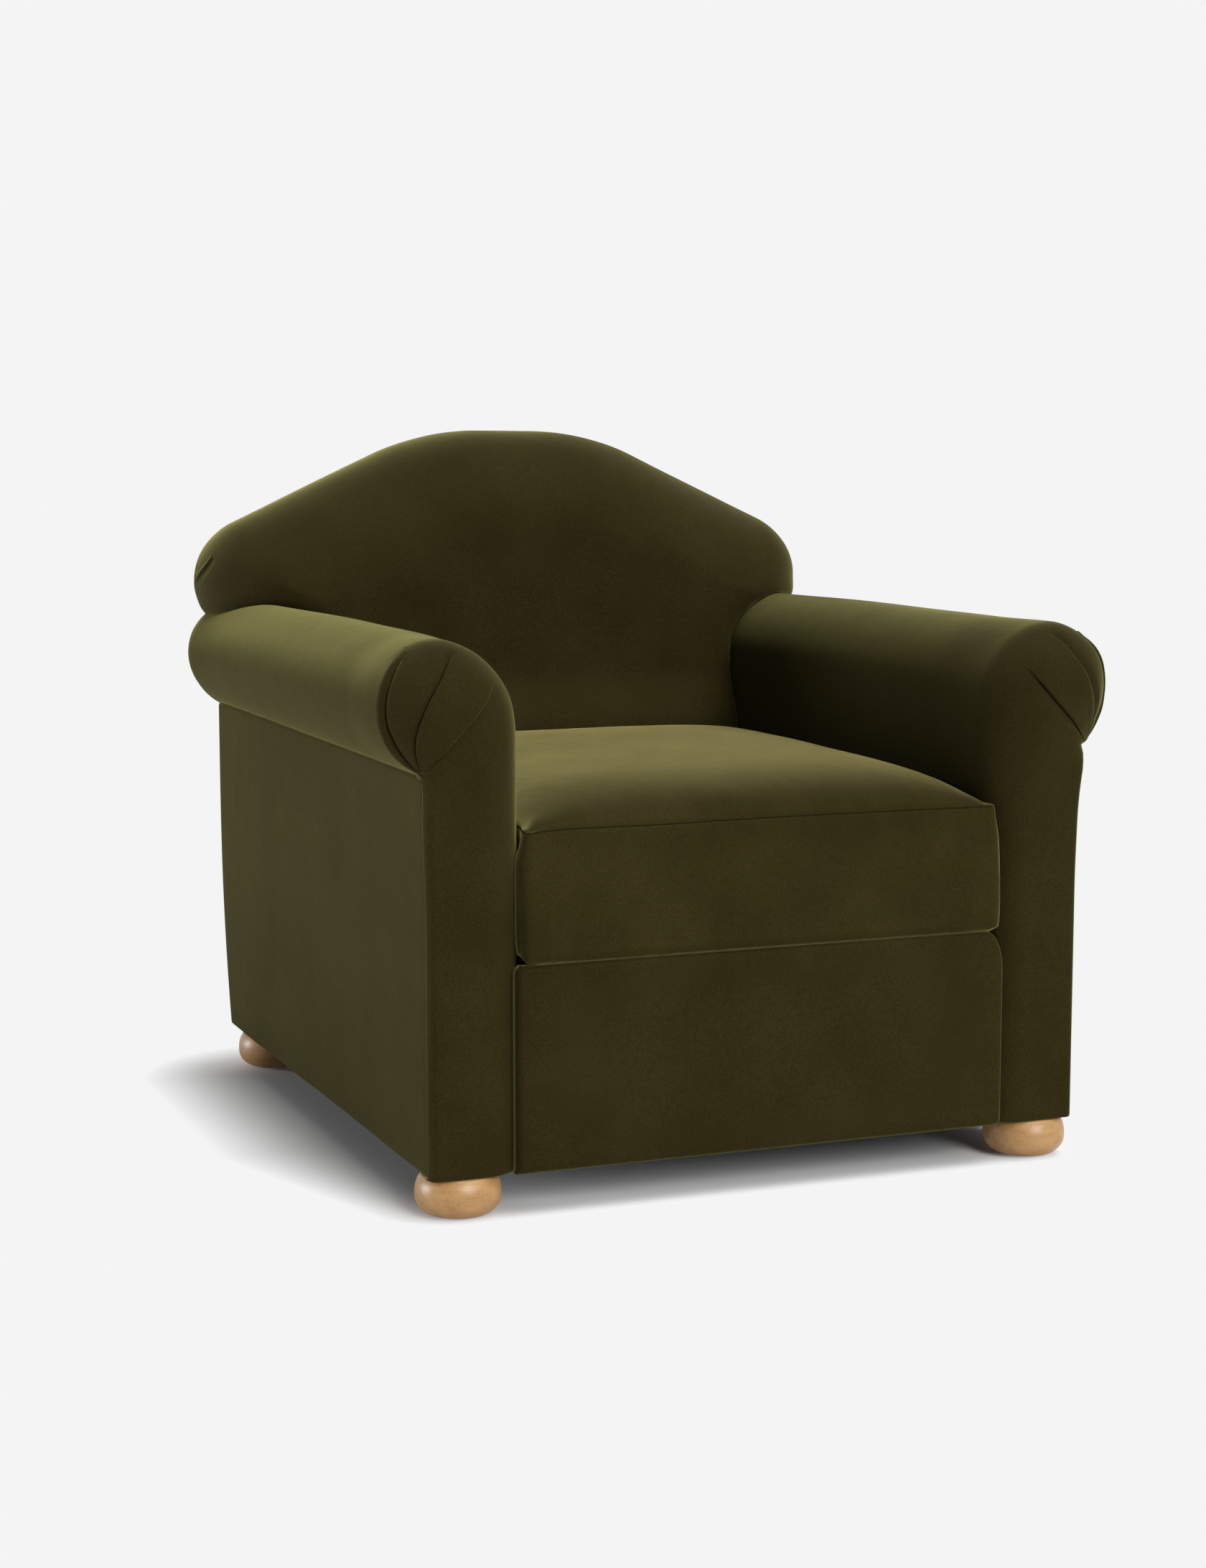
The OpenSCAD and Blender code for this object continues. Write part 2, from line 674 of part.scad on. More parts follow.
// Zip that closes the rear boxing, in the slot of the cover and curved with it
function rear_line(inset) = let(hy = seat_half_y + boxing_bulge - inset)
    [for (i = [-4 : 4]) let(x = (zip_l / 2 - gap) * i / 4)
        drawn([x, hy], seat_half_x, hy) + [0, seat_mid_y]];
module cushion_zip() {
    outer = rear_line(gap);
    inner = rear_line(cover_t - gap / 2);
    color(cloth) place() translate([0, 0, zip_mid_z - zip_w / 2 + gap])
        linear_extrude(zip_w - 2 * gap)
            polygon(concat(outer, [for (i = [len(inner) - 1 : -1 : 0]) inner[i]]));
}

module cushion_core() {
    color(foam) place() cushion(cover_t + gap);
}

// Centre line of a sinuous wire as a flat ribbon of the wire's width
function half_loop(i, pitch, r, straight) = let(up = i % 2 == 0)
    [for (k = [0 : 6]) let(a = up ? 180 - 30 * k : 180 + 30 * k)
        [(i + 0.5) * pitch + r * cos(a), (up ? 1 : -1) * straight / 2 + r * sin(a)]];
function wire_side(n, pitch, straight, t) = concat([[-t, 0]],
    [for (i = [0 : n - 1]) each half_loop(i, pitch, pitch / 2 + (i % 2 == 0 ? t : -t), straight)],
    [[n * pitch + (n % 2 == 0 ? -t : t), 0]]);

// Sinuous spring of the given length, lying along X
module sinuous(length) {
    n = 2 * floor(length / loop_pitch / 2);
    pitch = (length - wire_d) / n;
    straight = spring_w - wire_d - pitch;
    far = wire_side(n, pitch, straight, -wire_d / 2);
    translate([wire_d / 2, 0, 0]) linear_extrude(wire_d)
        polygon(concat(wire_side(n, pitch, straight, wire_d / 2),
            [for (i = [len(far) - 1 : -1 : 0]) far[i]]));
}

seat_spring_y0 = frame_y + 8;
seat_spring_l = post_y0 + rail_t - 8 - seat_spring_y0;
back_spring_z0 = cushion_z + 10;
back_spring_l = crest_rail_z0 + 40 - back_spring_z0;
back_spring_y = post_y0 - wire_d;

function spring_x(i, n) = (i - (n - 1) / 2) * 2 * (in_x - 40) / n;

module seat_springs() {
    color(steel) place() for (i = [0 : seat_springs_n - 1])
        translate([spring_x(i, seat_springs_n), seat_spring_y0, rail_top])
            rotate([0, 0, 90]) sinuous(seat_spring_l);
}

module back_springs() {
    color(steel) place() for (i = [0 : back_springs_n - 1])
        translate([spring_x(i, back_springs_n), back_spring_y + wire_d, back_spring_z0])
            rotate([0, -90, 0]) rotate([90, 0, 0]) sinuous(back_spring_l);
}

// Plates that hold the ends of the springs on the rails
module spring_clips() {
    clip_l = 14;
    clip_w = 26;
    color(steel) place() {
        for (i = [0 : seat_springs_n - 1]) for (y = [0, seat_spring_l - clip_l])
            translate([spring_x(i, seat_springs_n) - clip_w / 2, seat_spring_y0 + y,
                rail_top + wire_d])
                cube([clip_w, clip_l, clip_t]);
        for (i = [0 : back_springs_n - 1]) for (z = [0, back_spring_l - clip_l])
            translate([spring_x(i, back_springs_n) - clip_w / 2, back_spring_y - clip_t,
                back_spring_z0 + z])
                cube([clip_w, clip_t, clip_l]);
    }
}

inside_arm(-1);  // inside_arm_left
inside_arm(1);  // inside_arm_right
outside_arm(-1);  // outside_arm_left
outside_arm(1);  // outside_arm_right
inside_back();
outside_back();
front_border();
seat_deck();
dust_cover();
cushion_cover();
cushion_zip();
cushion_core();
front_rail();
rear_rail();
side_rail(-1);  // side_rail_left
side_rail(1);  // side_rail_right
front_bottom_rail();
rear_bottom_rail();
side_bottom_rail(-1);  // side_bottom_rail_left
side_bottom_rail(1);  // side_bottom_rail_right
front_post(-1);  // front_post_left
front_post(1);  // front_post_right
rear_post(-1);  // rear_post_left
rear_post(1);  // rear_post_right
scroll_board(-1);  // scroll_board_left
scroll_board(1);  // scroll_board_right
arm_board(-1);  // arm_board_left
arm_board(1);  // arm_board_right
crest_rail_front();
crest_rail_rear();
lower_back_rail();
corner_blocks();
foot_blocks();
seat_springs();
back_springs();
spring_clips();
bun_foot(-1, foot_front_y);  // foot_front_left
bun_foot(1, foot_front_y);  // foot_front_right
bun_foot(-1, foot_rear_y);  // foot_rear_left
bun_foot(1, foot_rear_y);  // foot_rear_right
foot_glides();
hanger_bolts();
foot_inserts();
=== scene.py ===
"""Looks of the roll-arm accent chair: velvet covers, cushion, feet and wood around the CAD frame.

Sizes are millimetres, apart from those in the materials and the studio, which are metres. The arm
fronts lie in the plane y = 0, x = 0 is the middle, and to_frame() turns these into the frame's
metres. A grid is an array of points, rows by columns, and t, u, v and shares run from 0 or -1 to 1.
"""
import json
import math

import bmesh
import bpy
import numpy as np
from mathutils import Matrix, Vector, noise


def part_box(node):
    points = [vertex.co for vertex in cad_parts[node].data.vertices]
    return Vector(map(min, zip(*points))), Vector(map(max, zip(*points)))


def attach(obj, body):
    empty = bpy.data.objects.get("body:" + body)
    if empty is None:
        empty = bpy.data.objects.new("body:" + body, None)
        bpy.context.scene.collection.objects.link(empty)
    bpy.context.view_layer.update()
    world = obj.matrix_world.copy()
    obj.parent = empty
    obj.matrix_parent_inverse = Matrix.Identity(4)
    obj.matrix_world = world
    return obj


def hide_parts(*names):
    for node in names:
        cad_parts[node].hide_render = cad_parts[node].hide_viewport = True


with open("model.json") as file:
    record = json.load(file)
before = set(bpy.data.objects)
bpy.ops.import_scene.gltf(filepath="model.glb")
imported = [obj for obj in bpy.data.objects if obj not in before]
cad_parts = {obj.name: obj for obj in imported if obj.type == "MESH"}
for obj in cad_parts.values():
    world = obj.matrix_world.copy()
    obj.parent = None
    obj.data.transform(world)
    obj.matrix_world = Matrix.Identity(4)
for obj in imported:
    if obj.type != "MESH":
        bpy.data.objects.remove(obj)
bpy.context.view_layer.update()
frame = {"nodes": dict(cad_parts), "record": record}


# Sizes taken from the frame

ARM_FRONT_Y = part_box("inside_arm_right")[0].y * 1000


def node_box(node):
    """Lowest and highest corner of a CAD node in millimetres, y measured from the arm fronts."""
    low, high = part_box(node)
    shift = np.array([0, ARM_FRONT_Y, 0])
    return np.array(low) * 1000 - shift, np.array(high) * 1000 - shift


ARM_LOW, ARM_HIGH = node_box("inside_arm_right")
PANEL_LOW, PANEL_HIGH = node_box("outside_arm_right")
BACK_LOW, BACK_HIGH = node_box("inside_back")
REAR_X, REAR_Y = node_box("outside_back")[1][:2]
CUSHION_LOW, CUSHION_HIGH = node_box("cushion_cover")
BORDER_LOW, BORDER_HIGH = node_box("front_border")
DECK_LOW, DECK_HIGH = node_box("seat_deck")
DUST_LOW, DUST_HIGH = node_box("dust_cover")
ZIP_LOW, ZIP_HIGH = node_box("cushion_zip")

SEAT_X = ARM_LOW[0]                        # inner face of the right arm
ROLL_R = (ARM_HIGH[0] - ARM_LOW[0]) / 2    # radius of the arm rolls
ROLL_X = SEAT_X + ROLL_R                   # middle of the right roll
ROLL_Z = ARM_HIGH[2] - ROLL_R
ROLL_END_Y = ARM_HIGH[1]                   # rear end of the rolls
BASE_Z = PANEL_LOW[2]                      # lower edge of the covers
FEET = ("front_left", "front_right", "rear_left", "rear_right")


def to_frame(points):
    """Points in millimetres from the arm fronts, as metres in the frame."""
    return (np.asarray(points, float) + [0, ARM_FRONT_Y, 0]) / 1000


def from_frame(vertices):
    """Places of a mesh's vertices, in millimetres from the arm fronts."""
    return np.array([v.co for v in vertices]) * 1000 - [0, ARM_FRONT_Y, 0]


# Small numeric helpers

def mix(a, b, t):
    """The value at share t of the way from a to b."""
    return a + (b - a) * t


def smooth(t, low, high):
    """Soft step from 0 at low to 1 at high."""
    t = np.clip((np.asarray(t, float) - low) / (high - low), 0, 1)
    return t * t * (3 - 2 * t)


def bell(t, width):
    """1 where t is 0, falling off over the width."""
    return np.exp(-(t / width) ** 2)


def round_over(share):
    """Drop of a quarter-round edge: 1 at its rim, 0 from one width inwards."""
    inside = 1 - np.clip(share, 0, 1)
    return 1 - np.sqrt(1 - inside ** 2)


def unit(vectors):
    """The vectors along the last axis, with length 1."""
    return vectors / np.maximum(np.linalg.norm(vectors, axis=-1, keepdims=True), 1e-9)


def lengths_along(line):
    """Length of a line from its start to each of its points."""
    return np.concatenate([[0], np.cumsum(np.linalg.norm(np.diff(line, axis=0), axis=1))])


def spline(points, t):
    """Smooth curve through the points, at shares t of its length."""
    points = np.asarray(points, float)
    at = lengths_along(points)
    slope = np.gradient(points, at, axis=0)
    s = np.clip(np.asarray(t, float), 0, 1) * at[-1]
    k = np.clip(np.searchsorted(at, s, side="right") - 1, 0, len(at) - 2)
    h = (at[k + 1] - at[k])[:, None]
    u = ((s - at[k])[:, None]) / h
    return ((2 * u ** 3 - 3 * u ** 2 + 1) * points[k] + (u ** 3 - 2 * u ** 2 + u) * h * slope[k]
            + (3 * u ** 2 - 2 * u ** 3) * points[k + 1] + (u ** 3 - u ** 2) * h * slope[k + 1])


def lumps(points, size, seed):
    """Smooth noise from -1 to 1 with lumps of the given size."""
    flat = np.asarray(points, float).reshape(-1, 3) / size
    values = [noise.noise(Vector((p[0] + seed, p[1], p[2]))) for p in flat]
    return np.array(values).reshape(np.shape(points)[:-1])


# Mesh helpers

def grid_faces(rows, columns, start=0, closed=False):
    """Quads of a grid whose vertices are numbered row by row."""
    faces = []
    for r in range(rows - 1):
        for c in range(columns if closed else columns - 1):
            d = (c + 1) % columns
            faces.append((start + r * columns + c, start + r * columns + d,
                          start + (r + 1) * columns + d, start + (r + 1) * columns + c))
    return faces


def grid_part(grid, closed=False):
    """Points and faces of a grid."""
    rows, columns = grid.shape[:2]
    return grid.reshape(-1, 3), grid_faces(rows, columns, closed=closed)


def rim_numbers(rows, columns):
    """Numbers of a grid's boundary points, once round."""
    at = np.arange(rows * columns).reshape(rows, columns)
    return np.concatenate([at[0], at[1:, -1], at[-1, -2::-1], at[-2:0:-1, 0]])


def edit_mesh(mesh, change):
    """Lets a function change the mesh as a BMesh."""
    work = bmesh.new()
    work.from_mesh(mesh)
    change(work)
    work.to_mesh(mesh)
    work.free()


def new_mesh(name, points, faces, material, weld=0.02):
    """A smooth mesh object from millimetre points, whose points nearer than weld are joined."""
    mesh = bpy.data.meshes.new(name)
    mesh.from_pydata([tuple(p) for p in to_frame(points)], [], faces)

    def join_points(work):
        if weld:
            bmesh.ops.remove_doubles(work, verts=work.verts, dist=weld / 1000)
            bmesh.ops.dissolve_degenerate(work, edges=work.edges, dist=1e-6)
        for face in work.faces:
            face.smooth = True

    edit_mesh(mesh, join_points)
    mesh.materials.append(material)
    piece = bpy.data.objects.new(name, mesh)
    bpy.context.scene.collection.objects.link(piece)
    return piece


def from_parts(name, parts, material, weld=0.02):
    """One mesh from several (points, faces), which number their points from 0."""
    points, faces, start = [], [], 0
    for part_points, part_faces in parts:
        points.append(part_points)
        faces.extend(tuple(start + i for i in face) for face in part_faces)
        start += len(part_points)
    return new_mesh(name, np.concatenate(points), faces, material, weld)


def even_normals(piece):
    """Turns all faces to the same side of the surface."""
    edit_mesh(piece.data, lambda work: bmesh.ops.recalc_face_normals(work, faces=work.faces))


def outwards(piece, point):
    """Turns the whole surface so that it faces away from a point in millimetres."""
    centre = Vector(to_frame(point))

    def turn(work):
        facing = sum(f.normal.dot(f.calc_center_median() - centre) * f.calc_area()
                     for f in work.faces)
        if facing < 0:
            bmesh.ops.reverse_faces(work, faces=work.faces)

    edit_mesh(piece.data, turn)


def as_cloth(piece, thickness=1.2):
    """Gives an open surface the thickness of its cover."""
    solid = piece.modifiers.new("cloth", "SOLIDIFY")
    solid.thickness = thickness / 1000
    solid.offset = -1
    graph = bpy.context.evaluated_depsgraph_get()
    mesh = bpy.data.meshes.new_from_object(piece.evaluated_get(graph))
    piece.modifiers.clear()
    piece.data = mesh


# Node helpers

def feed(tree, node, inputs):
    """Fills a node's inputs: a socket is linked, and any other value is set."""
    for key, value in inputs.items():
        if isinstance(value, bpy.types.NodeSocket):
            tree.links.new(value, node.inputs[key])
        else:
            node.inputs[key].default_value = value


def add_node(tree, kind, inputs):
    """A new shader node with its inputs filled."""
    node = tree.nodes.new("ShaderNode" + kind)
    feed(tree, node, inputs)
    return node


def calculate(tree, operation, first, second=0.0):
    """Socket with the result of a calculation on sockets or numbers."""
    node = add_node(tree, "Math", {0: first, 1: second})
    node.operation = operation
    return node.outputs[0]


def object_place(tree):
    """Socket with the place on the object."""
    return tree.nodes.new("ShaderNodeTexCoord").outputs["Object"]


def add_noise(tree, scale, detail, stretch=(1, 1, 1)):
    """Socket with noise in object space, stretched along the axes."""
    mapping = add_node(tree, "Mapping", {"Vector": object_place(tree), "Scale": stretch})
    texture = add_node(tree, "TexNoise", {"Vector": mapping.outputs["Vector"], "Scale": scale,
                                          "Detail": detail})
    return texture.outputs["Fac"]


def add_ramp(tree, value, *stops):
    """Socket with a colour for each value; stops are (value, colour)."""
    ramp = add_node(tree, "ValToRGB", {"Fac": value})
    for element, (position, colour) in zip(ramp.color_ramp.elements, stops):
        element.position = position
        element.color = (*colour, 1)
    return ramp.outputs["Color"]


def blend_colours(tree, kind, factor, first, second):
    """Socket with two colours blended."""
    node = tree.nodes.new("ShaderNodeMix")
    node.data_type = "RGBA"
    node.blend_type = kind
    colours = [key for key, socket in enumerate(node.inputs) if socket.type == "RGBA"]
    feed(tree, node, {"Factor": factor, colours[0]: first, colours[1]: second})
    return [socket for socket in node.outputs if socket.type == "RGBA"][0]


def add_bump(tree, height, strength, distance, **under):
    """Socket with the normal of a surface that has the given height, over the one under it."""
    return add_node(tree, "Bump", {"Height": height, "Strength": strength, "Distance": distance,
                                   **under}).outputs["Normal"]


def new_material(name):
    """A material, its node tree and its shader."""
    material = bpy.data.materials.new(name)
    material.use_nodes = True
    return material, material.node_tree, material.node_tree.nodes["Principled BSDF"]


def dimmed(colour, share):
    """The colour at a share of its brightness."""
    return tuple(share * c for c in colour)


# Materials

def velvet(name, deep, light, sheen, sheen_tint, strokes=0.25):
    """Short-pile velvet with brushed patches from deep to light, brighter at grazing angles.

    sheen is the strength of that brightness and strokes that of the broad strokes in its relief."""
    material, tree, shader = new_material(name)
    patches = add_noise(tree, scale=8, detail=4, stretch=(1.1, 0.5, 1.0))
    grain = add_noise(tree, scale=620, detail=2)
    stroked = add_noise(tree, scale=22, detail=5, stretch=(1.0, 0.45, 0.9))
    brushed = add_ramp(tree, patches, (0.36, deep), (0.64, light))
    fleck = add_ramp(tree, grain, (0.3, (0.68,) * 3), (0.7, (1.32,) * 3))
    pile = add_bump(tree, grain, strength=0.40, distance=0.0006)
    feed(tree, shader, {
        "Base Color": blend_colours(tree, "MULTIPLY", 1.0, brushed, fleck),
        "Roughness": 0.95,
        "Specular IOR Level": 0.08,
        "Sheen Weight": sheen,
        "Sheen Roughness": 0.32,
        "Sheen Tint": (*sheen_tint, 1),
        "Normal": add_bump(tree, stroked, strength=strokes, distance=0.005, Normal=pile)})
    return material


def wood(name, light, dark, along, scale=14, rough=0.5, gloss=0.3, coat=0.0):
    """Straight-grained wood with its grain along one axis of the frame."""
    material, tree, shader = new_material(name)
    stretch = [0.45 if axis == along else 7.0 for axis in "xyz"]
    figure = add_noise(tree, scale, detail=5, stretch=stretch)
    pores = add_noise(tree, 9 * scale, detail=3, stretch=stretch)
    figured = add_ramp(tree, figure, (0.32, dark), (0.62, light))
    pored = add_ramp(tree, pores, (0.34, dimmed(dark, 0.62)), (0.5, light))
    feed(tree, shader, {
        "Base Color": blend_colours(tree, "MIX", 0.35, figured, pored),
        "Roughness": rough,
        "Specular IOR Level": gloss,
        "Coat Weight": coat,
        "Coat Roughness": 0.35,
        "Normal": add_bump(tree, pores, strength=0.15, distance=0.0004)})
    return material


def textured(name, colour, rough, pattern, relief, metallic=0.0):
    """A material whose pattern varies its colour and gives it relief.

    pattern(tree) gives a socket, the values where the colour is dimmest and full, and how dim."""
    material, tree, shader = new_material(name)
    value, low, high, dimmest = pattern(tree)
    strength, distance = relief
    feed(tree, shader, {
        "Base Color": add_ramp(tree, value, (low, dimmed(colour, dimmest)), (high, colour)),
        "Roughness": rough,
        "Metallic": metallic,
        "Normal": add_bump(tree, value, strength, distance)})
    return material


def metal(name, colour, rough):
    """Metal with fine streaks."""
    return textured(name, colour, rough, relief=(0.1, 0.0002), metallic=1.0, pattern=lambda tree: (
        add_noise(tree, scale=60, detail=4, stretch=(1, 8, 1)), 0.3, 0.7, 0.75))


def moulded(name, colour, rough):
    """Plastic or foam with fine speckles."""
    return textured(name, colour, rough, relief=(0.15, 0.0002), pattern=lambda tree: (
        add_noise(tree, scale=700, detail=2), 0.35, 0.65, 0.8))


def plain_cloth(name, colour, weave):
    """Woven or pressed cloth with fine threads across each other."""
    def threads(tree):
        heights = []
        for direction in ("X", "Y"):
            wave = add_node(tree, "TexWave", {"Vector": object_place(tree), "Scale": weave,
                                              "Distortion": 0.6})
            wave.bands_direction = direction
            heights.append(wave.outputs["Fac"])
        return calculate(tree, "MAXIMUM", *heights), 0.2, 0.9, 0.7

    return textured(name, colour, 0.9, relief=(0.3, 0.0003), pattern=threads)


VELVET = velvet("velvet", deep=(0.0208, 0.0155, 0.0031), light=(0.0260, 0.0205, 0.0050),
                sheen=0.52, sheen_tint=(0.64, 0.60, 0.20))
# The cushion's velvet is a lighter, shinier copy of the velvet above: painted light, standing in for
# the brighter light on the cushion's top and front.
LIT_CUSHION_VELVET = velvet("cushion_velvet_lit", deep=(0.0225, 0.0165, 0.0032),
                        light=(0.0290, 0.0224, 0.0054), sheen=1.0, sheen_tint=(0.86, 0.76, 0.28),
                        strokes=0.36)
MATERIALS = {
    "velvet": VELVET,
    "cambric": plain_cloth("cambric", (0.022, 0.022, 0.022), weave=900),
    "zip_tape": plain_cloth("zip_tape", (0.05, 0.045, 0.022), weave=1200),
    "foam": moulded("foam", (0.85, 0.80, 0.66), rough=0.9),
    "beech": wood("beech", (0.62, 0.43, 0.26), (0.50, 0.32, 0.17), along="y"),
    "plywood": wood("plywood", (0.68, 0.50, 0.31), (0.50, 0.34, 0.19), along="x"),
    "spring_steel": metal("spring_steel", (0.45, 0.45, 0.46), rough=0.4),
    "oak": wood("oak", (0.45, 0.255, 0.095), (0.33, 0.165, 0.052), along="x", scale=16,
                rough=0.42, gloss=0.45, coat=0.25),
    "nylon": moulded("nylon", (0.05, 0.05, 0.05), rough=0.6),
    "brass": metal("brass", (0.7, 0.52, 0.22), rough=0.35),
}
for part in frame["record"]["subparts"]:
    cad_mesh = frame["nodes"][part["node"]].data
    cad_mesh.materials.clear()
    cad_mesh.materials.append(MATERIALS[part["material_slot"]])


# Arm front: a padded face that swells into the roll, with three pleats that meet at the fan point

EDGE_DEPTH = 50.0                  # how far the padded edge of the arm front reaches back
ROLL_BULGE = 19.5                  # how far the middle of the roll's front stands forward
UPRIGHT_BULGE = 3.0                # the same on the upright
SWELL_Z = (430, 575)               # heights between which one becomes the other
WALL_EDGE = 50.0                   # width of the rounded edge along the inside of the upright
ROLL_EDGE = 65.0                   # the same along the outside of the roll
SEAM_EDGE = 9.0                    # the same along the outer seam
OUTER_WIDTH_Z = (490, 545)         # heights between which the outer edge gets as wide as the roll's
OUTER_DEPTH_Z = (505, 560)         # the same for its depth
ROLL_TOP = (30, 90)                # angles between which the roll's edge widens to the inside
SEAM_DEPTH = 9.0                   # how far the outer seam lies behind the front
SEAM_X_FOOT, SEAM_X_FAN = 422.5, 428.3     # the outer seam low down and at the fan point
SEAM_LEAN_Z = 350.0                # where the seam starts to lean outwards
FAN = np.array([430.0, 520.0])     # x and z of the point where the pleats meet
FAN_DIP, FAN_DIP_WIDTH = 3.0, 12.0         # the hollow round it
FACE_T = np.linspace(0, 1, 64) ** 1.6      # shares of the way from the padded edge to the fan point
NEAR_EDGE = ((1 - FACE_T) ** 5)[:, None]   # how far the points follow their column's start

# Pleats: angle on the roll's edge, and the points (x, z) that the pleat runs through from there
OUTER_PLEAT = 57.0, [(440, 652), (449, 641), (458, 624), (464, 602), (463, 577), (455, 556),
                     (443, 536), (431, 521)]
MIDDLE_PLEAT = 97.0, [(391, 650), (405, 631), (419, 610), (430, 586), (436, 562), (435, 541),
                      (430, 522)]
INNER_PLEAT = 141.0, [(346, 614), (358, 600), (374, 582), (403, 552), (429, 521)]

# Cross-section of a pleat: where the flat cloth would be, where it is, and its height, from the
# covered side to the covering side
PLEAT_SECTION = [
    (-15, -15, 0), (-12.5, -12.5, -0.5), (-10.5, -10.5, -1.4), (-8.5, -8.5, -2.5),
    (-6.5, -6.3, -3.8), (-5, -4.6, -4.9), (-3.8, -3.2, -5.9), (-2.8, -1.9, -6.7), (-2, -0.8, -7.2),
    (-1.2, 0.8, -7.2), (-0.5, 2.4, -5.8), (0, 2.4, -3.4), (0.6, 1.3, -2.0), (1.1, 0.1, -1.6),
    (1.6, -0.8, -0.9), (2.1, -0.9, -0.1), (2.7, -0.4, 0.6), (3.6, 0.9, 0.95), (5, 3.1, 1.0),
    (7, 6.0, 0.75), (10, 9.6, 0.4), (16, 16, 0)]
PLEAT_ROOM = 62.0                  # distance from the fan point at which a pleat has its full width
# The lip of the outer pleat: distance from the pleat's line, and height
LIP_FACE = [(7.0, 0.2), (5.0, 0.35), (3.2, 0.45), (1.8, 0.4), (0.8, 0.1)]
LIP_UNDER = [(0.2, -0.4), (0.0, -1.1), (0.3, -1.8), (1.2, -2.3), (3.5, -2.6), (7.0, -3.0)]
LIP_LEAD = 4.8                     # degrees between the outer pleat and the cloth beside its lip

# Shape of the roll's outline against a circle: angle, share of the radius at the front and behind
OUTLINE = np.array([
    (-64, 1.00, 1.00), (-50, 1.02, 1.00), (-30, 1.05, 1.01), (0, 1.055, 1.02), (25, 1.07, 1.02),
    (42, 1.055, 1.00), (60, 1.02, 0.98), (78, 0.985, 0.955), (95, 0.915, 0.935),
    (110, 0.875, 0.915), (125, 0.855, 0.91), (141, 0.85, 0.92), (155, 0.87, 0.935),
    (170, 0.915, 0.965), (180, 0.95, 0.985), (190, 0.982, 0.995), (202, 1.00, 1.00)])
SHAPE_R, SHAPE_Z = (0.3, 0.9), (500, 530)  # shares of the radius and heights where it sets in
SHAPE_Y = (50, 170)                # distances where the front's shape becomes the one behind
OUTLINE_AT = np.arange(-90.0, 231.0)
BLUR_REACH = 24
OUTLINE_BLUR = bell(np.arange(-BLUR_REACH, BLUR_REACH + 1), 9.0)
OUTLINE_FRONT, OUTLINE_BEHIND = [
    np.convolve(np.pad(np.interp(OUTLINE_AT, OUTLINE[:, 0], OUTLINE[:, k]), BLUR_REACH, "edge"),
                OUTLINE_BLUR / OUTLINE_BLUR.sum(), "valid") for k in (1, 2)]


def seam_x(z):
    """Where the seam between the arm front and the outside panel runs."""
    lean = np.clip((z - SEAM_LEAN_Z) / (FAN[1] - SEAM_LEAN_Z), 0, 1) ** 1.3
    return mix(SEAM_X_FOOT, SEAM_X_FAN, lean)


def roll_point(degrees):
    """Point (x, z) of the round roll's edge."""
    a = np.radians(degrees)
    return np.stack([ROLL_X + ROLL_R * np.cos(a), ROLL_Z + ROLL_R * np.sin(a)], -1)


def shaped(points):
    """Points of the round roll, moved to where the soft roll of the photograph has them."""
    points = np.array(points, float)
    x, z = points[..., 0] - ROLL_X, points[..., 2] - ROLL_Z
    degrees = np.degrees(np.arctan2(z, x))
    around = np.where(degrees < -90, degrees + 360, degrees)
    share = mix(np.interp(around, OUTLINE_AT, OUTLINE_FRONT),
                np.interp(around, OUTLINE_AT, OUTLINE_BEHIND), smooth(points[..., 1], *SHAPE_Y))
    amount = smooth(np.hypot(x, z) / ROLL_R, *SHAPE_R) * smooth(points[..., 2], *SHAPE_Z)
    scale = 1 + (share - 1) * amount
    points[..., 0] = ROLL_X + x * scale
    points[..., 2] = ROLL_Z + z * scale
    return points


def pleat_line(pleat, t):
    """Line (x, z) of a pleat at shares t of its length, before shaped() moves it into place."""
    angle, points = pleat
    aim = np.array([(x, 0, z) for x, z in points], float)
    guess = aim.copy()
    for _ in range(12):
        guess = guess + (aim - shaped(guess))
    return spline([roll_point(angle), *guess[:, [0, 2]]], t)


def front_y(x, z):
    """Surface of the padded arm front over the point (x, z)."""
    x, z = np.asarray(x, float), np.asarray(z, float)
    radius = np.hypot(x - ROLL_X, z - ROLL_Z)
    angle = np.degrees(np.arctan2(z - ROLL_Z, x - ROLL_X))
    up = smooth(z, *SWELL_Z)
    base = -mix(UPRIGHT_BULGE, ROLL_BULGE, up)
    over = z >= ROLL_Z
    side = np.sqrt(np.maximum(0, ROLL_R ** 2 - np.minimum(0, z - ROLL_Z) ** 2))
    seam = seam_x(z)
    edge_x = np.where(z > FAN[1], np.maximum(ROLL_X + side, seam), seam)
    inner = np.where(over, ROLL_R - radius, x - SEAT_X)
    outer = np.where(over, 2 * ROLL_R, edge_x - x)
    inner_width = np.where(over, mix(ROLL_EDGE, ROLL_R, smooth(angle, *ROLL_TOP)),
                           mix(WALL_EDGE, ROLL_R, up))
    outer_width = mix(SEAM_EDGE, ROLL_EDGE, smooth(z, *OUTER_WIDTH_Z))
    outer_depth = mix(SEAM_DEPTH + UPRIGHT_BULGE, EDGE_DEPTH - base, smooth(z, *OUTER_DEPTH_Z))
    y = base + (EDGE_DEPTH - base) * round_over(inner / inner_width)
    y = y + outer_depth * round_over(outer / outer_width)
    return y + FAN_DIP * bell(np.hypot(x - FAN[0], z - FAN[1]), FAN_DIP_WIDTH)


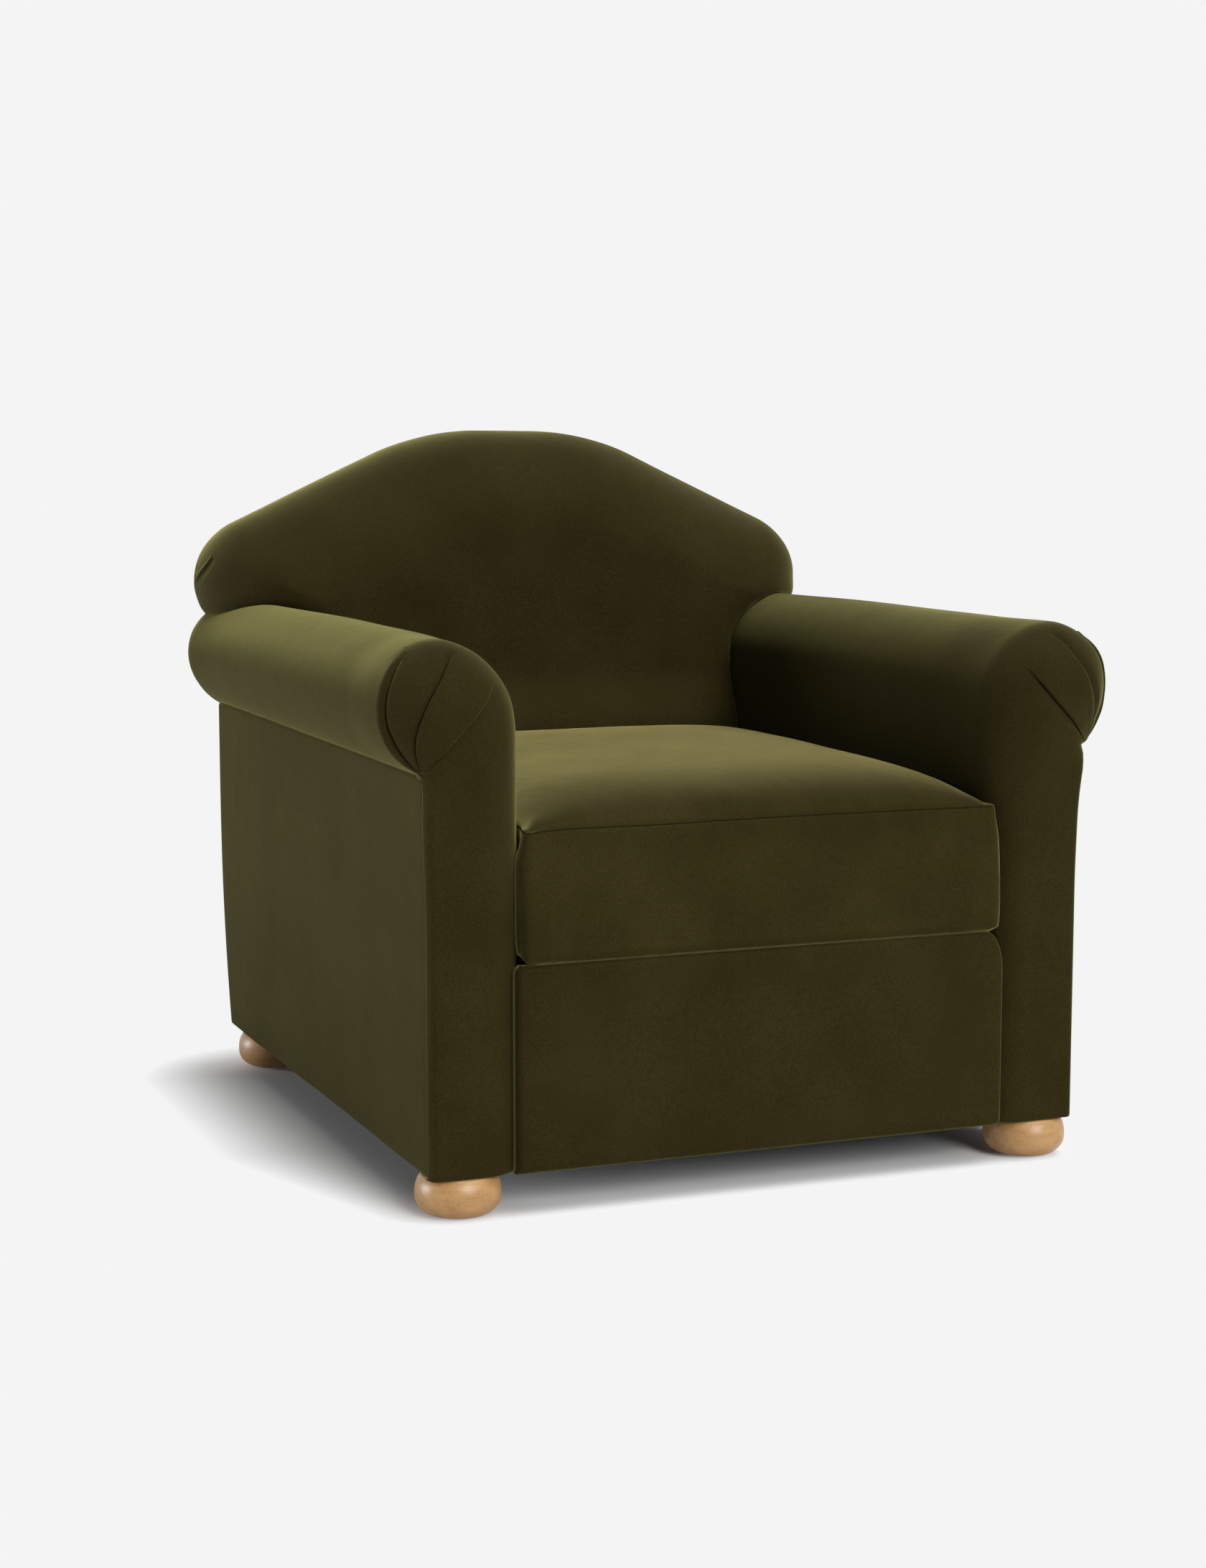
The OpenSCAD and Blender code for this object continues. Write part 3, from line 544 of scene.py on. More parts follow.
def on_front(xz):
    """Points of the arm front over (x, z), and their normals."""
    x, z = xz[..., 0], xz[..., 1]
    e = 0.4
    dx = np.clip((front_y(x + e, z) - front_y(x - e, z)) / (2 * e), -3, 3)
    dz = np.clip((front_y(x, z + e) - front_y(x, z - e)) / (2 * e), -3, 3)
    return np.stack([x, front_y(x, z), z], -1), unit(np.stack([dx, -np.ones_like(dx), dz], -1))


def pleat_strip(pleat, sign, fade, depth=1.0):
    """Columns across one pleat, each from the roll's edge to the fan point, and their angles.

    sign is +1 where the covering side lies towards growing angles, that is inwards. The pleat
    opens between the two lengths in fade, and depth scales its heights."""
    line = pleat_line(pleat, FACE_T)
    tangent = unit(np.gradient(line, axis=0))
    across = np.stack([-tangent[:, 1], tangent[:, 0]], 1)
    to_inner = np.array([-1.0, 0.2])
    across *= np.sign(across @ to_inner)[:, None] * sign
    room = smooth(np.linalg.norm(line - FAN, axis=1), 0, PLEAT_ROOM)
    fold = smooth(lengths_along(line), *fade)
    columns, angles = [], []
    for flat, moved, height in PLEAT_SECTION:
        angles.append(pleat[0] + sign * np.degrees(flat / ROLL_R))
        edge_fix = roll_point(angles[-1]) - (line[0] + flat * across[0])
        u = mix(flat, moved, fold) * room
        xz = line + across * u[:, None] + edge_fix * NEAR_EDGE
        points, normal = on_front(xz)
        columns.append(points + normal * (height * depth * fold * np.sqrt(room))[:, None])
    return columns[::-sign], angles[::-sign]


def between(first, last, edge_point, count):
    """Columns between two others, which start on the given edge and blend in between."""
    columns = []
    for share in np.arange(1, count + 1) / (count + 1):
        line = mix(first[:, [0, 2]], last[:, [0, 2]], share)
        fix = edge_point(share) - line[0]
        columns.append(on_front(line + fix * ((1 - FACE_T) ** 2.5)[:, None])[0])
    return columns


def straight_column(z):
    """Line across the upright's front at height z, from the inner edge to the outer seam."""
    return on_front(np.stack([mix(SEAT_X, seam_x(z), FACE_T), np.full_like(FACE_T, z)], 1))[0]


def outer_lip(neighbour):
    """Columns of the outer pleat's lip, as wide as the gap to the neighbouring column allows."""
    line = pleat_line(OUTER_PLEAT, FACE_T)
    along = lengths_along(line)
    lift = smooth(along, 6, 34) * smooth(np.linalg.norm(line - FAN, axis=1), 0, 30)
    gaps = line[:, None] - neighbour[None, :, [0, 2]]
    narrow = np.minimum(1, 0.5 * np.linalg.norm(gaps, axis=2).min(axis=1) / LIP_FACE[0][0])
    inwards = unit(np.array([ROLL_X, ROLL_Z]) - line)
    columns = []
    for shift, height in LIP_FACE + LIP_UNDER:
        on_face = (shift, height) in LIP_FACE
        lead = min(5.0, math.degrees(0.7 * shift / ROLL_R)) if on_face else 0.0
        start = roll_point(OUTER_PLEAT[0] + lead) - line[0]
        spread = smooth(along, 0, 24) if on_face else lift
        xz = line + inwards * (shift * narrow * spread)[:, None]
        points, normal = on_front(xz + start * NEAR_EDGE)
        columns.append(points + normal * (height * lift)[:, None])
    return columns


def face_columns(wall):
    """Columns of the arm front from the wall's foot round to the outer pleat's lip."""
    inner, inner_angles = pleat_strip(INNER_PLEAT, -1, fade=(20, 62), depth=0.62)
    middle, middle_angles = pleat_strip(MIDDLE_PLEAT, 1, fade=(12, 30))
    straight = ROLL_Z - FAN[1]
    arc = ROLL_R * math.radians(180 - inner_angles[0])

    def up_the_inside(share):
        s = share * (straight + arc)
        if s < straight:
            return np.array([SEAT_X, FAN[1] + s])
        return roll_point(180 - math.degrees((s - straight) / ROLL_R))

    def arc_between(first, last):
        return lambda share: roll_point(mix(first, last, share))

    lip = outer_lip(middle[-1])
    return (wall + between(wall[-1], inner[0], up_the_inside, 15) + inner
            + between(inner[-1], middle[0], arc_between(inner_angles[-1], middle_angles[0]), 7)
            + middle + between(middle[-1], lip[0],
                               arc_between(middle_angles[-1], OUTER_PLEAT[0] + LIP_LEAD), 8) + lip)


# Inside arm: wall, roll and rear end behind the arm front

WALL_FOOT = 286.0                  # height where the wall's inner side starts, below the cushion
LENGTH_YS = [*np.linspace(ROLL_END_Y - 10, 130, 52), 114, 98, 84, 72, 62, 55]
REAR_ROWS = [(4, -2.5), (30, -2), (60, -1), (74, -1.5), (80, -4.5)]   # radius and y of the rear end


def roll_sag(y):
    """How far the roll's top has sunk at the distance y from the front."""
    return 5.0 * smooth(y, 420, 900)


def length_rows(outline, seed):
    """Rows of the wall and roll from the rear to the padded edge, over the outline points."""
    share = np.clip((outline[:, 1] - (ROLL_Z - 60)) / (60 + ROLL_R), 0, 1)
    grid = np.array([np.stack([outline[:, 0], np.full(len(outline), y),
                               outline[:, 1] - roll_sag(y) * share], 1) for y in LENGTH_YS])
    away = unit((grid - [ROLL_X, 0, ROLL_Z]) * [1, 0, 1])
    wave = 1.2 * lumps(grid * [1, 0.35, 1], 110, seed) * smooth(grid[..., 1], 60, 260)
    return grid + away * wave[..., None]


def rear_cap(outline):
    """Rows that close the rear end of the roll, from its middle out to the rounded edge."""
    middle = np.array([ROLL_X, ROLL_Z])
    rows = []
    for radius, y in REAR_ROWS:
        x, z = ((outline - middle) * radius / ROLL_R + middle).T
        rows.append(np.stack([x, np.full(len(x), ROLL_END_Y + y), z - roll_sag(ROLL_END_Y)], 1))
    return np.array(rows)


def roll_side(seed):
    """Grids of the roll's outer side, which runs in under the outer pleat, and of its rear end."""
    angles = np.linspace(OUTER_PLEAT[0], -62, 62)
    outline = roll_point(angles)
    middle = np.array([ROLL_X, ROLL_Z])
    line = pleat_line(OUTER_PLEAT, np.linspace(0, 1, 200))
    line_angles = np.degrees(np.arctan2(line[:, 1] - ROLL_Z, line[:, 0] - ROLL_X))
    order = np.argsort(line_angles)
    ends = np.stack([np.interp(angles, line_angles[order], line[order, k]) for k in (0, 1)], 1)
    end_r = np.linalg.norm(ends - middle, axis=1)
    end_y = front_y(ends[:, 0], ends[:, 1])
    groove = smooth(OUTER_PLEAT[0] - angles, 0, 24) * smooth(angles, -61, -44)

    # Each row: its share of the way from the padded edge to the pleat, its y and its radius
    shares = (0, 0.12, 0.25, 0.36, 0.46, 0.56, 0.66, 0.76, 0.86, 0.94, 1.0, 1.0)
    ys = [mix(EDGE_DEPTH, end_y + 10, forward) for forward in (0, 0.4, 0.75)]
    ys += [end_y + behind for behind in (10, 8, 6.4, 5.2, 4.4, 4.0, 4.3, 5.6, 8.0)]
    radii = 3 * [np.full(len(angles), ROLL_R)]
    radii += [np.maximum(ROLL_R - inside, end_r + 0.3) for inside in (0, 0.25, 0.8, 1.7, 2.8)]
    radii += [end_r - inside for inside in (-0.3, 1.2, 3.8, 7.0)]
    rows = []
    for share, y, radius in zip(shares, ys, radii):
        plain = on_front(mix(outline, ends, share))[0]
        x, z = (middle + (outline - middle) / ROLL_R * radius[:, None]).T
        rows.append(mix(plain, np.stack([x, y, z], 1), groove[:, None]))
    side_face = np.array(rows)
    side_face[0, :, 1] = EDGE_DEPTH
    body = length_rows(outline, seed)
    return np.concatenate([body, side_face]), np.concatenate([rear_cap(outline), body[:1]])


def arm_cover(seed):
    """Grids of the right arm's cover, which share edges; the seed places its lumps."""
    low = [straight_column(z) for z in (BASE_Z + 6, *np.arange(66, WALL_FOOT, 11))]
    wall = [straight_column(z) for z in np.linspace(WALL_FOOT, FAN[1], 24)]
    face = np.array(face_columns(wall)).transpose(1, 0, 2)
    face[0, :, 1] = EDGE_DEPTH
    outline = face[0][:, [0, 2]]
    body = length_rows(outline, seed)
    main = np.concatenate([body, face])
    on_roll = outline[:, 1] >= ROLL_Z - 1
    cap = np.concatenate([rear_cap(outline[on_roll]), body[:1, on_roll]])
    side, side_cap = roll_side(seed)

    # The upright's front below the cushion starts beside the border; its lower edge is turned under
    turned = []
    for dz, dy in ((0.6, 8.0), (0.0, 4.0), (0.5, 1.6), (2.4, 0.4)):
        column = low[0] + [0, dy, 0]
        column[:, 2] = BASE_Z + dz
        turned.append(column)
    beside_border = int(np.searchsorted(face[:, 0, 0], BORDER_HIGH[0] - 3))
    lower = np.array(turned + low + [wall[0]]).transpose(1, 0, 2)[beside_border:]

    # The cover's outer edge, turned back in under the outside panel
    edge = np.array([column[-1] for column in [turned[-1]] + low + wall])
    behind = np.array([edge + [-dx, dy, 0] for dx, dy in (
        (0, 0), (0.5, 2.5), (1.6, 6.0), (3.0, 12.0), (3.6, 26.0))])
    return [shaped(grid) for grid in (main, cap, side, side_cap, lower, behind)]


for name, sign, seed in (("left", -1, 3.0), ("right", 1, 11.0)):
    parts = [grid_part(grid * [sign, 1, 1]) for grid in arm_cover(seed)]
    cover = from_parts("arm_cover_" + name, parts, VELVET)
    even_normals(cover)
    outwards(cover, (sign * ROLL_X, 400, 480))
    as_cloth(cover)
    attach(cover, "chair")
    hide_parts("inside_arm_" + name)


# Padded boards: a grid of points with a rounded rim, a crown and a flat back

def board(name, grid, outward, thickness, rim, crown):
    """Closed velvet pad over a grid of points; outward is the direction of its face."""
    rows, columns = grid.shape[:2]
    count = rows * columns

    def rim_distance(axis):
        step = np.linalg.norm(np.diff(grid, axis=axis), axis=2)
        lead = np.concatenate([np.zeros_like(np.take(step, [0], axis)), np.cumsum(step, axis)], axis)
        total = np.take(lead, [-1], axis)
        return np.minimum(lead, total - lead), total

    down, total_down = rim_distance(0)
    along, total_along = rim_distance(1)
    lift = thickness - rim * (round_over(down / rim) + round_over(along / rim)).clip(0, 1)
    swell = (1 - (1 - 2 * down / total_down).clip(0, 1) ** 3) \
        * (1 - (1 - 2 * along / total_along).clip(0, 1) ** 3)
    front = grid + np.asarray(outward, float) * (lift + crown * swell)[..., None]
    faces = grid_faces(rows, columns)
    faces += [tuple(count + i for i in reversed(face)) for face in faces]
    edge = rim_numbers(rows, columns).tolist()
    faces += [(b, a, a + count, b + count) for a, b in zip(edge, edge[1:] + edge[:1])]
    points = np.concatenate([front.reshape(-1, 3), grid.reshape(-1, 3)])
    piece = new_mesh(name, points, faces, VELVET)
    even_normals(piece)
    return piece


def rim_steps(length, rim, spacing):
    """Places along a side, dense within the rounded rim at both ends."""
    edge = rim * np.array([0, 0.02, 0.08, 0.18, 0.34, 0.58, 1.0])
    inner = np.linspace(rim, length - rim, max(3, int(length / spacing)))
    return np.concatenate([edge[:-1], inner, length - edge[:-1][::-1]])


def rim_shares(rim, spacing):
    """The same as shares of the side, with rim and spacing in thousandths of it."""
    return rim_steps(1000, rim, spacing) / 1000


RAKE_Z = 455.0                     # height below which the outside back leans forward
RAKE = 45.0                        # how far it has come forward at its lower edge
PANEL_THICKNESS = 8.5
PANEL_BACK_X = PANEL_HIGH[0] - 10  # inner face of the outside panels


def rear_profile(z):
    """Rear face of the outside back: upright above, raked forward towards the floor."""
    low = np.clip((RAKE_Z - np.asarray(z, float)) / (RAKE_Z - BASE_Z), 0, 1)
    return REAR_Y - RAKE * low ** 2.4


def outside_panel(name, sign):
    """Padded board of one side, which follows the arm front's seam and spreads to the rear."""
    rim = 5.0
    zs = BASE_Z + rim_steps(PANEL_HIGH[2] + 4 - BASE_Z, rim, 16)
    shares = rim_shares(7, 22)
    grid = np.array([[(sign * PANEL_BACK_X, mix(PANEL_LOW[1], rear_profile(z) + 0.5, s), z)
                      for s in shares] for z in zs])
    y = grid[..., 1]
    lean = (seam_x(grid[..., 2]) - SEAM_X_FOOT) * smooth(400 - y, 0, 400)
    grid[..., 0] += sign * (lean + 3.0 * smooth(y, 300, 800))
    grid[..., 0] += sign * 0.9 * lumps(grid * [1, 1, 0.4], 110, 5.0 + sign)
    return board(name, grid, (sign, 0, 0), PANEL_THICKNESS, rim, crown=2.0)


for name, sign in (("left", -1), ("right", 1)):
    panel = outside_panel("outside_panel_" + name, sign)
    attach(panel, "chair")
    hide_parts("outside_arm_" + name)


# Back: a face between the arms whose camel-shaped edge rolls over to the rear

BACK_TOP = BACK_HIGH[2]
BACK_X = BACK_HIGH[0]
BACK_FOOT_Z = CUSHION_LOW[2]
CREST_FLAT = 43.0                  # half width of the crest's flat top
CREST_R = 342.0
CREST_SLOPE = math.radians(24.7)   # slope of the line between crest and shoulder
CREST_SWELL = 2.5                  # how far that line swells upwards
SHOULDER_R = 90.0
SHOULDER_CURL = 10.0               # how far the outline draws in below the shoulder
SHOULDER_FOOT_Z = 640.0
EDGE_IN = 150.0                    # width of the face's rounded edge
EDGE_IN_FOOT = 62.0                # the same where it comes down to the arms
EDGE_BACK = 169.0                  # how far the outline lies behind the face
FACE_LEAN = 28.0                   # how far the face's foot stands forward of the rest
FACE_LEAN_Z = (480, 560)           # heights between which it goes back
FACE_SWELL = 5.0                   # how far the face's middle stands forward
FACE_Y = BACK_LOW[1] + FACE_LEAN
OUTLINE_Y = FACE_Y + EDGE_BACK
BEAD_R = 30.0                      # size of the bead along the outline's rear
BEAD_BACK = BACK_HIGH[1] - OUTLINE_Y
REAR_IN = 52.0                     # how far the rear panel lies inside the outline
BEAD_SHARES = (0.03, 0.1, 0.2, 0.34, 0.5, 0.68, 0.84, 1.0, 1.2, 1.42, 1.62, 1.8)
BEAD_TURN = 24.0                   # how far the cover turns back in behind the bead


def outline_points():
    """Right half of the back's outline, from the middle of the crest down to the shoulder's foot."""
    crest_z = BACK_TOP - CREST_R
    shoulder_x = BACK_X - SHOULDER_R
    shoulder_z = (math.sin(CREST_SLOPE) * (CREST_FLAT - shoulder_x)
                  + math.cos(CREST_SLOPE) * crest_z + CREST_R - SHOULDER_R) / math.cos(CREST_SLOPE)
    points = [(x, BACK_TOP) for x in np.linspace(0, CREST_FLAT, 8)[:-1]]
    points += [(CREST_FLAT + CREST_R * math.sin(a), crest_z + CREST_R * math.cos(a))
               for a in np.linspace(0, CREST_SLOPE, 30)]
    points += [(shoulder_x + SHOULDER_R * math.sin(a), shoulder_z + SHOULDER_R * math.cos(a))
               for a in np.linspace(CREST_SLOPE, math.pi / 2, 40)]
    points += [(BACK_X - SHOULDER_CURL * s ** 2, mix(shoulder_z, SHOULDER_FOOT_Z, s))
               for s in np.linspace(0, 1, 12)[1:]]
    points = np.array(points)
    x = points[:, 0]
    points[:, 1] += CREST_SWELL * smooth(x, 120, 220) * smooth(-x, -440, -380)
    return points


HALF = outline_points()
HALF_AT = lengths_along(HALF)
HALF_LENGTH = HALF_AT[-1]


def outline_at(u):
    """Outline point and outward normal at share u, -1 and 1 being the two shoulders' feet."""
    def point(s):
        return np.stack([np.interp(s, HALF_AT, HALF[:, k]) for k in (0, 1)], -1)

    s = np.abs(u) * HALF_LENGTH
    along = point(s + 6) - point(s - 6)
    normal = unit(np.stack([-along[..., 1], along[..., 0]], -1))
    mirror = np.stack([np.where(u < 0, -1.0, 1.0), np.ones(np.shape(u))], -1)
    return point(s) * mirror, normal * mirror


def outline_distance(x, z):
    """Distance of points inside the back from its outline."""
    x = np.abs(x)
    best = np.full(np.shape(x), 1e9)
    for (ax, az), (bx, bz) in zip(HALF[:-1], HALF[1:]):
        length = (bx - ax) ** 2 + (bz - az) ** 2
        t = np.clip(((x - ax) * (bx - ax) + (z - az) * (bz - az)) / length, 0, 1)
        best = np.minimum(best, np.hypot(x - ax - t * (bx - ax), z - az - t * (bz - az)))
    return best


def tuck(x, z):
    """How far the back's cover dips where it meets an arm."""
    depth, width = 16, 26
    roll = np.hypot(np.abs(x) - ROLL_X, z - ROLL_Z + 9) - ROLL_R
    distance = np.where(z < ROLL_Z, SEAT_X - np.abs(x), roll)
    return depth * round_over(distance / width)


def back_face(x, z, d):
    """Face of the back over (x, z) at the distance d from its outline."""
    face = FACE_Y - FACE_LEAN * (1 - smooth(z, *FACE_LEAN_Z))
    swell = FACE_SWELL * np.clip(1 - (x / SEAT_X) ** 2, 0, 1) * smooth(z, 300, 500)
    width = mix(EDGE_IN_FOOT, EDGE_IN, smooth(z, 624, 690))
    return face - swell + (OUTLINE_Y - face) * round_over(d / width) + tuck(x, z)


# The shoulder's fold: a line on the right half of the cover, from the outline upwards
FOLD_LINE = np.array([
    (456.3, 960, 679), (457.4, 946, 689.3), (457.4, 930.2, 697.2), (455.8, 918.9, 703.8),
    (453.4, 909.4, 710.2), (450.4, 901.9, 716.1), (447.6, 898.3, 721.7), (445.5, 897.9, 726.3),
    (443.5, 897.4, 730)])
FOLD_ACROSS = np.array([0.0, 0.8, 0.35])    # direction from its slit to its lip
FOLD_ABOVE_FOOT = 62.0                      # length of outline between its middle and the foot
# Cross-section of the fold: height, place and width of its slit, its lip and the hollow before them
FOLD_SECTION = [(-4.0, 0.0, 1.4), (1.8, 4.0, 3.2), (-1.0, -6.0, 5.0)]


def fold_place(points):
    """Distance across the shoulder's fold, positive towards the rear, and share of its length."""
    p = np.abs(points)
    best = np.full(p.shape[:-1], 1e9)
    across, share = np.zeros_like(best), np.zeros_like(best)
    count = len(FOLD_LINE) - 1
    for k, (a, b) in enumerate(zip(FOLD_LINE[:-1], FOLD_LINE[1:])):
        t = np.clip(((p - a) @ (b - a)) / ((b - a) @ (b - a)), 0, 1)
        offset = p - a - t[..., None] * (b - a)
        distance = np.linalg.norm(offset, axis=-1)
        nearer = distance < best
        best = np.where(nearer, distance, best)
        across = np.where(nearer, distance * np.sign(offset @ FOLD_ACROSS), across)
        share = np.where(nearer, (k + t) / count, share)
    return across, share


def fold_height(points):
    """Height of the shoulder's fold over the cover: a lip beside a narrow slit."""
    s, share = fold_place(points)
    strength = smooth(share, 0.0, 0.35) * smooth(1 - share, 0.0, 0.3)
    return strength * sum(height * bell(s - at, width) for height, at, width in FOLD_SECTION)


def press_folds(work):
    """Refines the cover around both shoulders' folds and presses them in."""
    for cuts, reach in ((2, 18.0), (1, 9.0)):
        near = np.abs(fold_place(from_frame(work.verts))[0]) < reach
        work.verts.ensure_lookup_table()
        edges = [e for e in work.edges if near[e.verts[0].index] and near[e.verts[1].index]]
        bmesh.ops.subdivide_edges(work, edges=edges, cuts=cuts, use_grid_fill=True, smooth=0.6)
        work.verts.index_update()
    work.normal_update()
    for vertex, height in zip(work.verts, fold_height(from_frame(work.verts))):
        if abs(height) > 0.01:
            vertex.co += vertex.normal * (height / 1000)
    for face in work.faces:
        face.smooth = True


def arm_crease(points):
    """How far the cover draws in where it lies against the arm rolls."""
    depth, width = 5.0, 9.0
    x, z = np.abs(points[..., 0]), points[..., 2]
    gap = np.hypot(x - ROLL_X, z - ROLL_Z + 5.0) - ROLL_R * 0.97
    return depth * bell(np.maximum(gap, 0), width) * smooth(x, 385, 430)


def back_steps():
    """Shares of the outline from foot to foot, dense around both shoulders' folds."""
    dense = np.linspace(0, 1, 2001)
    from_fold = (dense - 1) * HALF_LENGTH + FOLD_ABOVE_FOOT
    density = np.cumsum(1 + 5 * bell(from_fold, 45))
    half = np.interp(np.linspace(density[0], density[-1], 111), density, dense)
    return np.concatenate([-half[::-1], half[1:]])


def back_cover():
    """Cover of the back: its face, then the bead that rolls over to the rear."""
    us = back_steps()
    tops, normals = outline_at(us)
    t = (1 - (1 - np.linspace(0, 1, 92)) ** 1.9)[:, None, None]
    foot = np.stack([us * (SEAT_X + 6), np.full(len(us), BACK_FOOT_Z)], 1)
    above_foot = foot + (tops - foot) * [0, 0.45]
    below_top = tops - normals * EDGE_IN
    xz = ((1 - t) ** 3 * foot + 3 * (1 - t) ** 2 * t * above_foot
          + 3 * (1 - t) * t ** 2 * below_top + t ** 3 * tops)
    x, z = xz[..., 0], xz[..., 1]
    distance = outline_distance(x, z)
    distance[-1] = 0
    face = np.stack([x, back_face(x, z, distance), z], -1)
    taper = smooth(HALF_LENGTH * (1 - np.abs(us)), 0, 45)
    rows = []
    for share in BEAD_SHARES:
        back = BEAD_BACK * max(0, 1 - (1 - min(share, 1)) ** 3) ** (1 / 3)
        if share > 1:
            back -= BEAD_TURN * round_over(1 - (share - 1) / 0.8)
        p = tops - normals * share * BEAD_R
        rows.append(np.stack([p[:, 0], OUTLINE_Y + back * mix(0.35, 1, taper), p[:, 1]], 1))
    grid = np.concatenate([face, np.array(rows)])
    outward = unit(np.cross(np.gradient(grid, axis=0), np.gradient(grid, axis=1)))
    outward *= -np.sign(outward[20, len(us) // 2, 1])    # the middle of the face looks forward
    height = 0.9 * lumps(grid, 130, 31.0) - arm_crease(grid)
    return from_parts("back_cover", [grid_part(grid + outward * height[..., None])], VELVET)


back = back_cover()
outwards(back, (0, 900, 600))
edit_mesh(back.data, press_folds)
as_cloth(back)
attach(back, "chair")
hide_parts("inside_back")


def rear_panel():
    """Padded board of the outside back, with the back's outline drawn in."""
    us = 2 * rim_shares(10, 20) - 1
    tops, normals = outline_at(us * 0.995)
    tops = tops - normals * REAR_IN
    foot = np.stack([us * (REAR_X - 5), np.full(len(us), BASE_Z)], 1)
    x, z = np.moveaxis(mix(foot, tops, rim_shares(12, 20)[:, None, None]), -1, 0)
    grid = np.stack([x, rear_profile(z) - 10, z], -1)
    return board("rear_panel", grid, (0, 1, 0), thickness=10, rim=6.0, crown=5.0)


rear = rear_panel()
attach(rear, "chair")
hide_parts("outside_back")


# Front border, deck and dust cloth

def front_border():
    """Padded board over the front rails, whose right top corner is cut rounder than its left."""
    rim, thickness = 9.0, 20
    width, top = BORDER_HIGH[0], BORDER_HIGH[2]
    xs = -width + rim_steps(2 * width, rim, 14)
    zs = BASE_Z + rim_steps(top - BASE_Z, rim, 12)
    grid = np.array([[(x, BORDER_LOW[1] + thickness, z) for x in xs] for z in zs])
    right = grid[..., 0] > 0
    corner_width, corner_height = np.where(right, 24.0, 8.0), np.where(right, 48.0, 10.0)
    cut = np.clip((grid[..., 2] - (top - corner_height)) / corner_height, 0, 1)
    grid[..., 0] *= 1 - corner_width * (1 - np.sqrt(1 - cut ** 2)) / width
    return board("border_cover", grid, (0, -1, 0), thickness, rim, crown=2.0)


border = front_border()
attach(border, "chair")
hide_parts("front_border")


def deck():
    """Padded deck under the cushion."""
    rim, crown = 8, 0.8
    xs = DECK_LOW[0] + rim_steps(DECK_HIGH[0] - DECK_LOW[0], rim, 24)
    ys = DECK_LOW[1] + rim_steps(DECK_HIGH[1] - DECK_LOW[1], rim, 24)
    grid = np.array([[(x, y, DECK_LOW[2]) for x in xs] for y in ys])
    return board("deck_pad", grid, (0, 0, 1), DECK_HIGH[2] - DECK_LOW[2] - 1.0, rim, crown)


deck_pad = deck()
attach(deck_pad, "chair")
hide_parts("seat_deck")


DUST_HOLE_R = 27.0                 # radius of the holes for the feet's necks


def dust_sheet():
    """Thin cloth stapled under the frame, with a slight sag and holes for the feet's necks."""
    count, gap, sag = 60, 0.4, 3.0
    u, v = np.meshgrid(np.linspace(-1, 1, count), np.linspace(-1, 1, count))
    points = mix(DUST_LOW, DUST_HIGH, np.stack([u + 1, v + 1, 0 * u], -1) / 2)
    points[..., 2] += gap - sag * (1 - u ** 4) * (1 - v ** 4)
    points = points.reshape(-1, 3)
    centres = [sum(node_box("foot_" + place))[:2] / 2 for place in FEET]

    def is_clear(face):
        middle = points[list(face), :2].mean(axis=0)
        return min(np.linalg.norm(middle - centre) for centre in centres) > DUST_HOLE_R

    faces = [face for face in grid_faces(count, count) if is_clear(face)]
    piece = new_mesh("dust_cloth", points, faces, MATERIALS["cambric"])
    edit_mesh(piece.data, lambda work: bmesh.ops.delete(
        work, geom=[v for v in work.verts if not v.link_faces], context="VERTS"))
    as_cloth(piece, thickness=0.8)
    return piece


dust = dust_sheet()
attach(dust, "chair")
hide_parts("dust_cover")


# Cushion: a crowned box of seamed panels round foam, blown up by a cloth simulation

SEAM_Z = CUSHION_LOW[2] + 153.0    # height of the upper seam
CROWN = 55.0                       # how far the middle stands above the seam
CUSHION_X = (CUSHION_HIGH[0] - CUSHION_LOW[0]) / 2 - 1.5      # half of its width
CUSHION_Y = (CUSHION_HIGH[1] - CUSHION_LOW[1]) / 2 - 2.0      # half of its depth
CUSHION_MID = (CUSHION_LOW[1] + CUSHION_HIGH[1]) / 2          # y of its middle
ACROSS, DEEP, BOXING_ROWS = 66, 72, 15                        # points of its grids
TOP_COUNT = ACROSS * DEEP
RIM_AT = rim_numbers(DEEP, ACROSS)                            # the seam's points in those grids
ON_RIM = np.unravel_index(RIM_AT, (DEEP, ACROSS))
AROUND = len(RIM_AT)
SIDE_DRAW, END_DRAW = 3.0, 4.0     # how far its outline draws in between the corners
LIP_DROP = 4.5                     # how far the front's lower edge hangs over the border
LAST_FRAME = 16                    # frames of the simulation
MOST_MOVE = 6.0                    # most that it may move a point


def edge_dense(count):
    """Steps from -1 to 1 that lie closer together near both ends."""
    t = np.linspace(-1, 1, count)
    return 0.45 * t + 0.55 * np.sin(t * math.pi / 2)


def wedge(y):
    """How far the arms' rounded front edges let the cushion spread at the distance y."""
    ahead = np.clip((EDGE_DEPTH - UPRIGHT_BULGE - y) / EDGE_DEPTH, 0, 0.68)
    return EDGE_DEPTH * (1 - np.sqrt(1 - ahead ** 2))


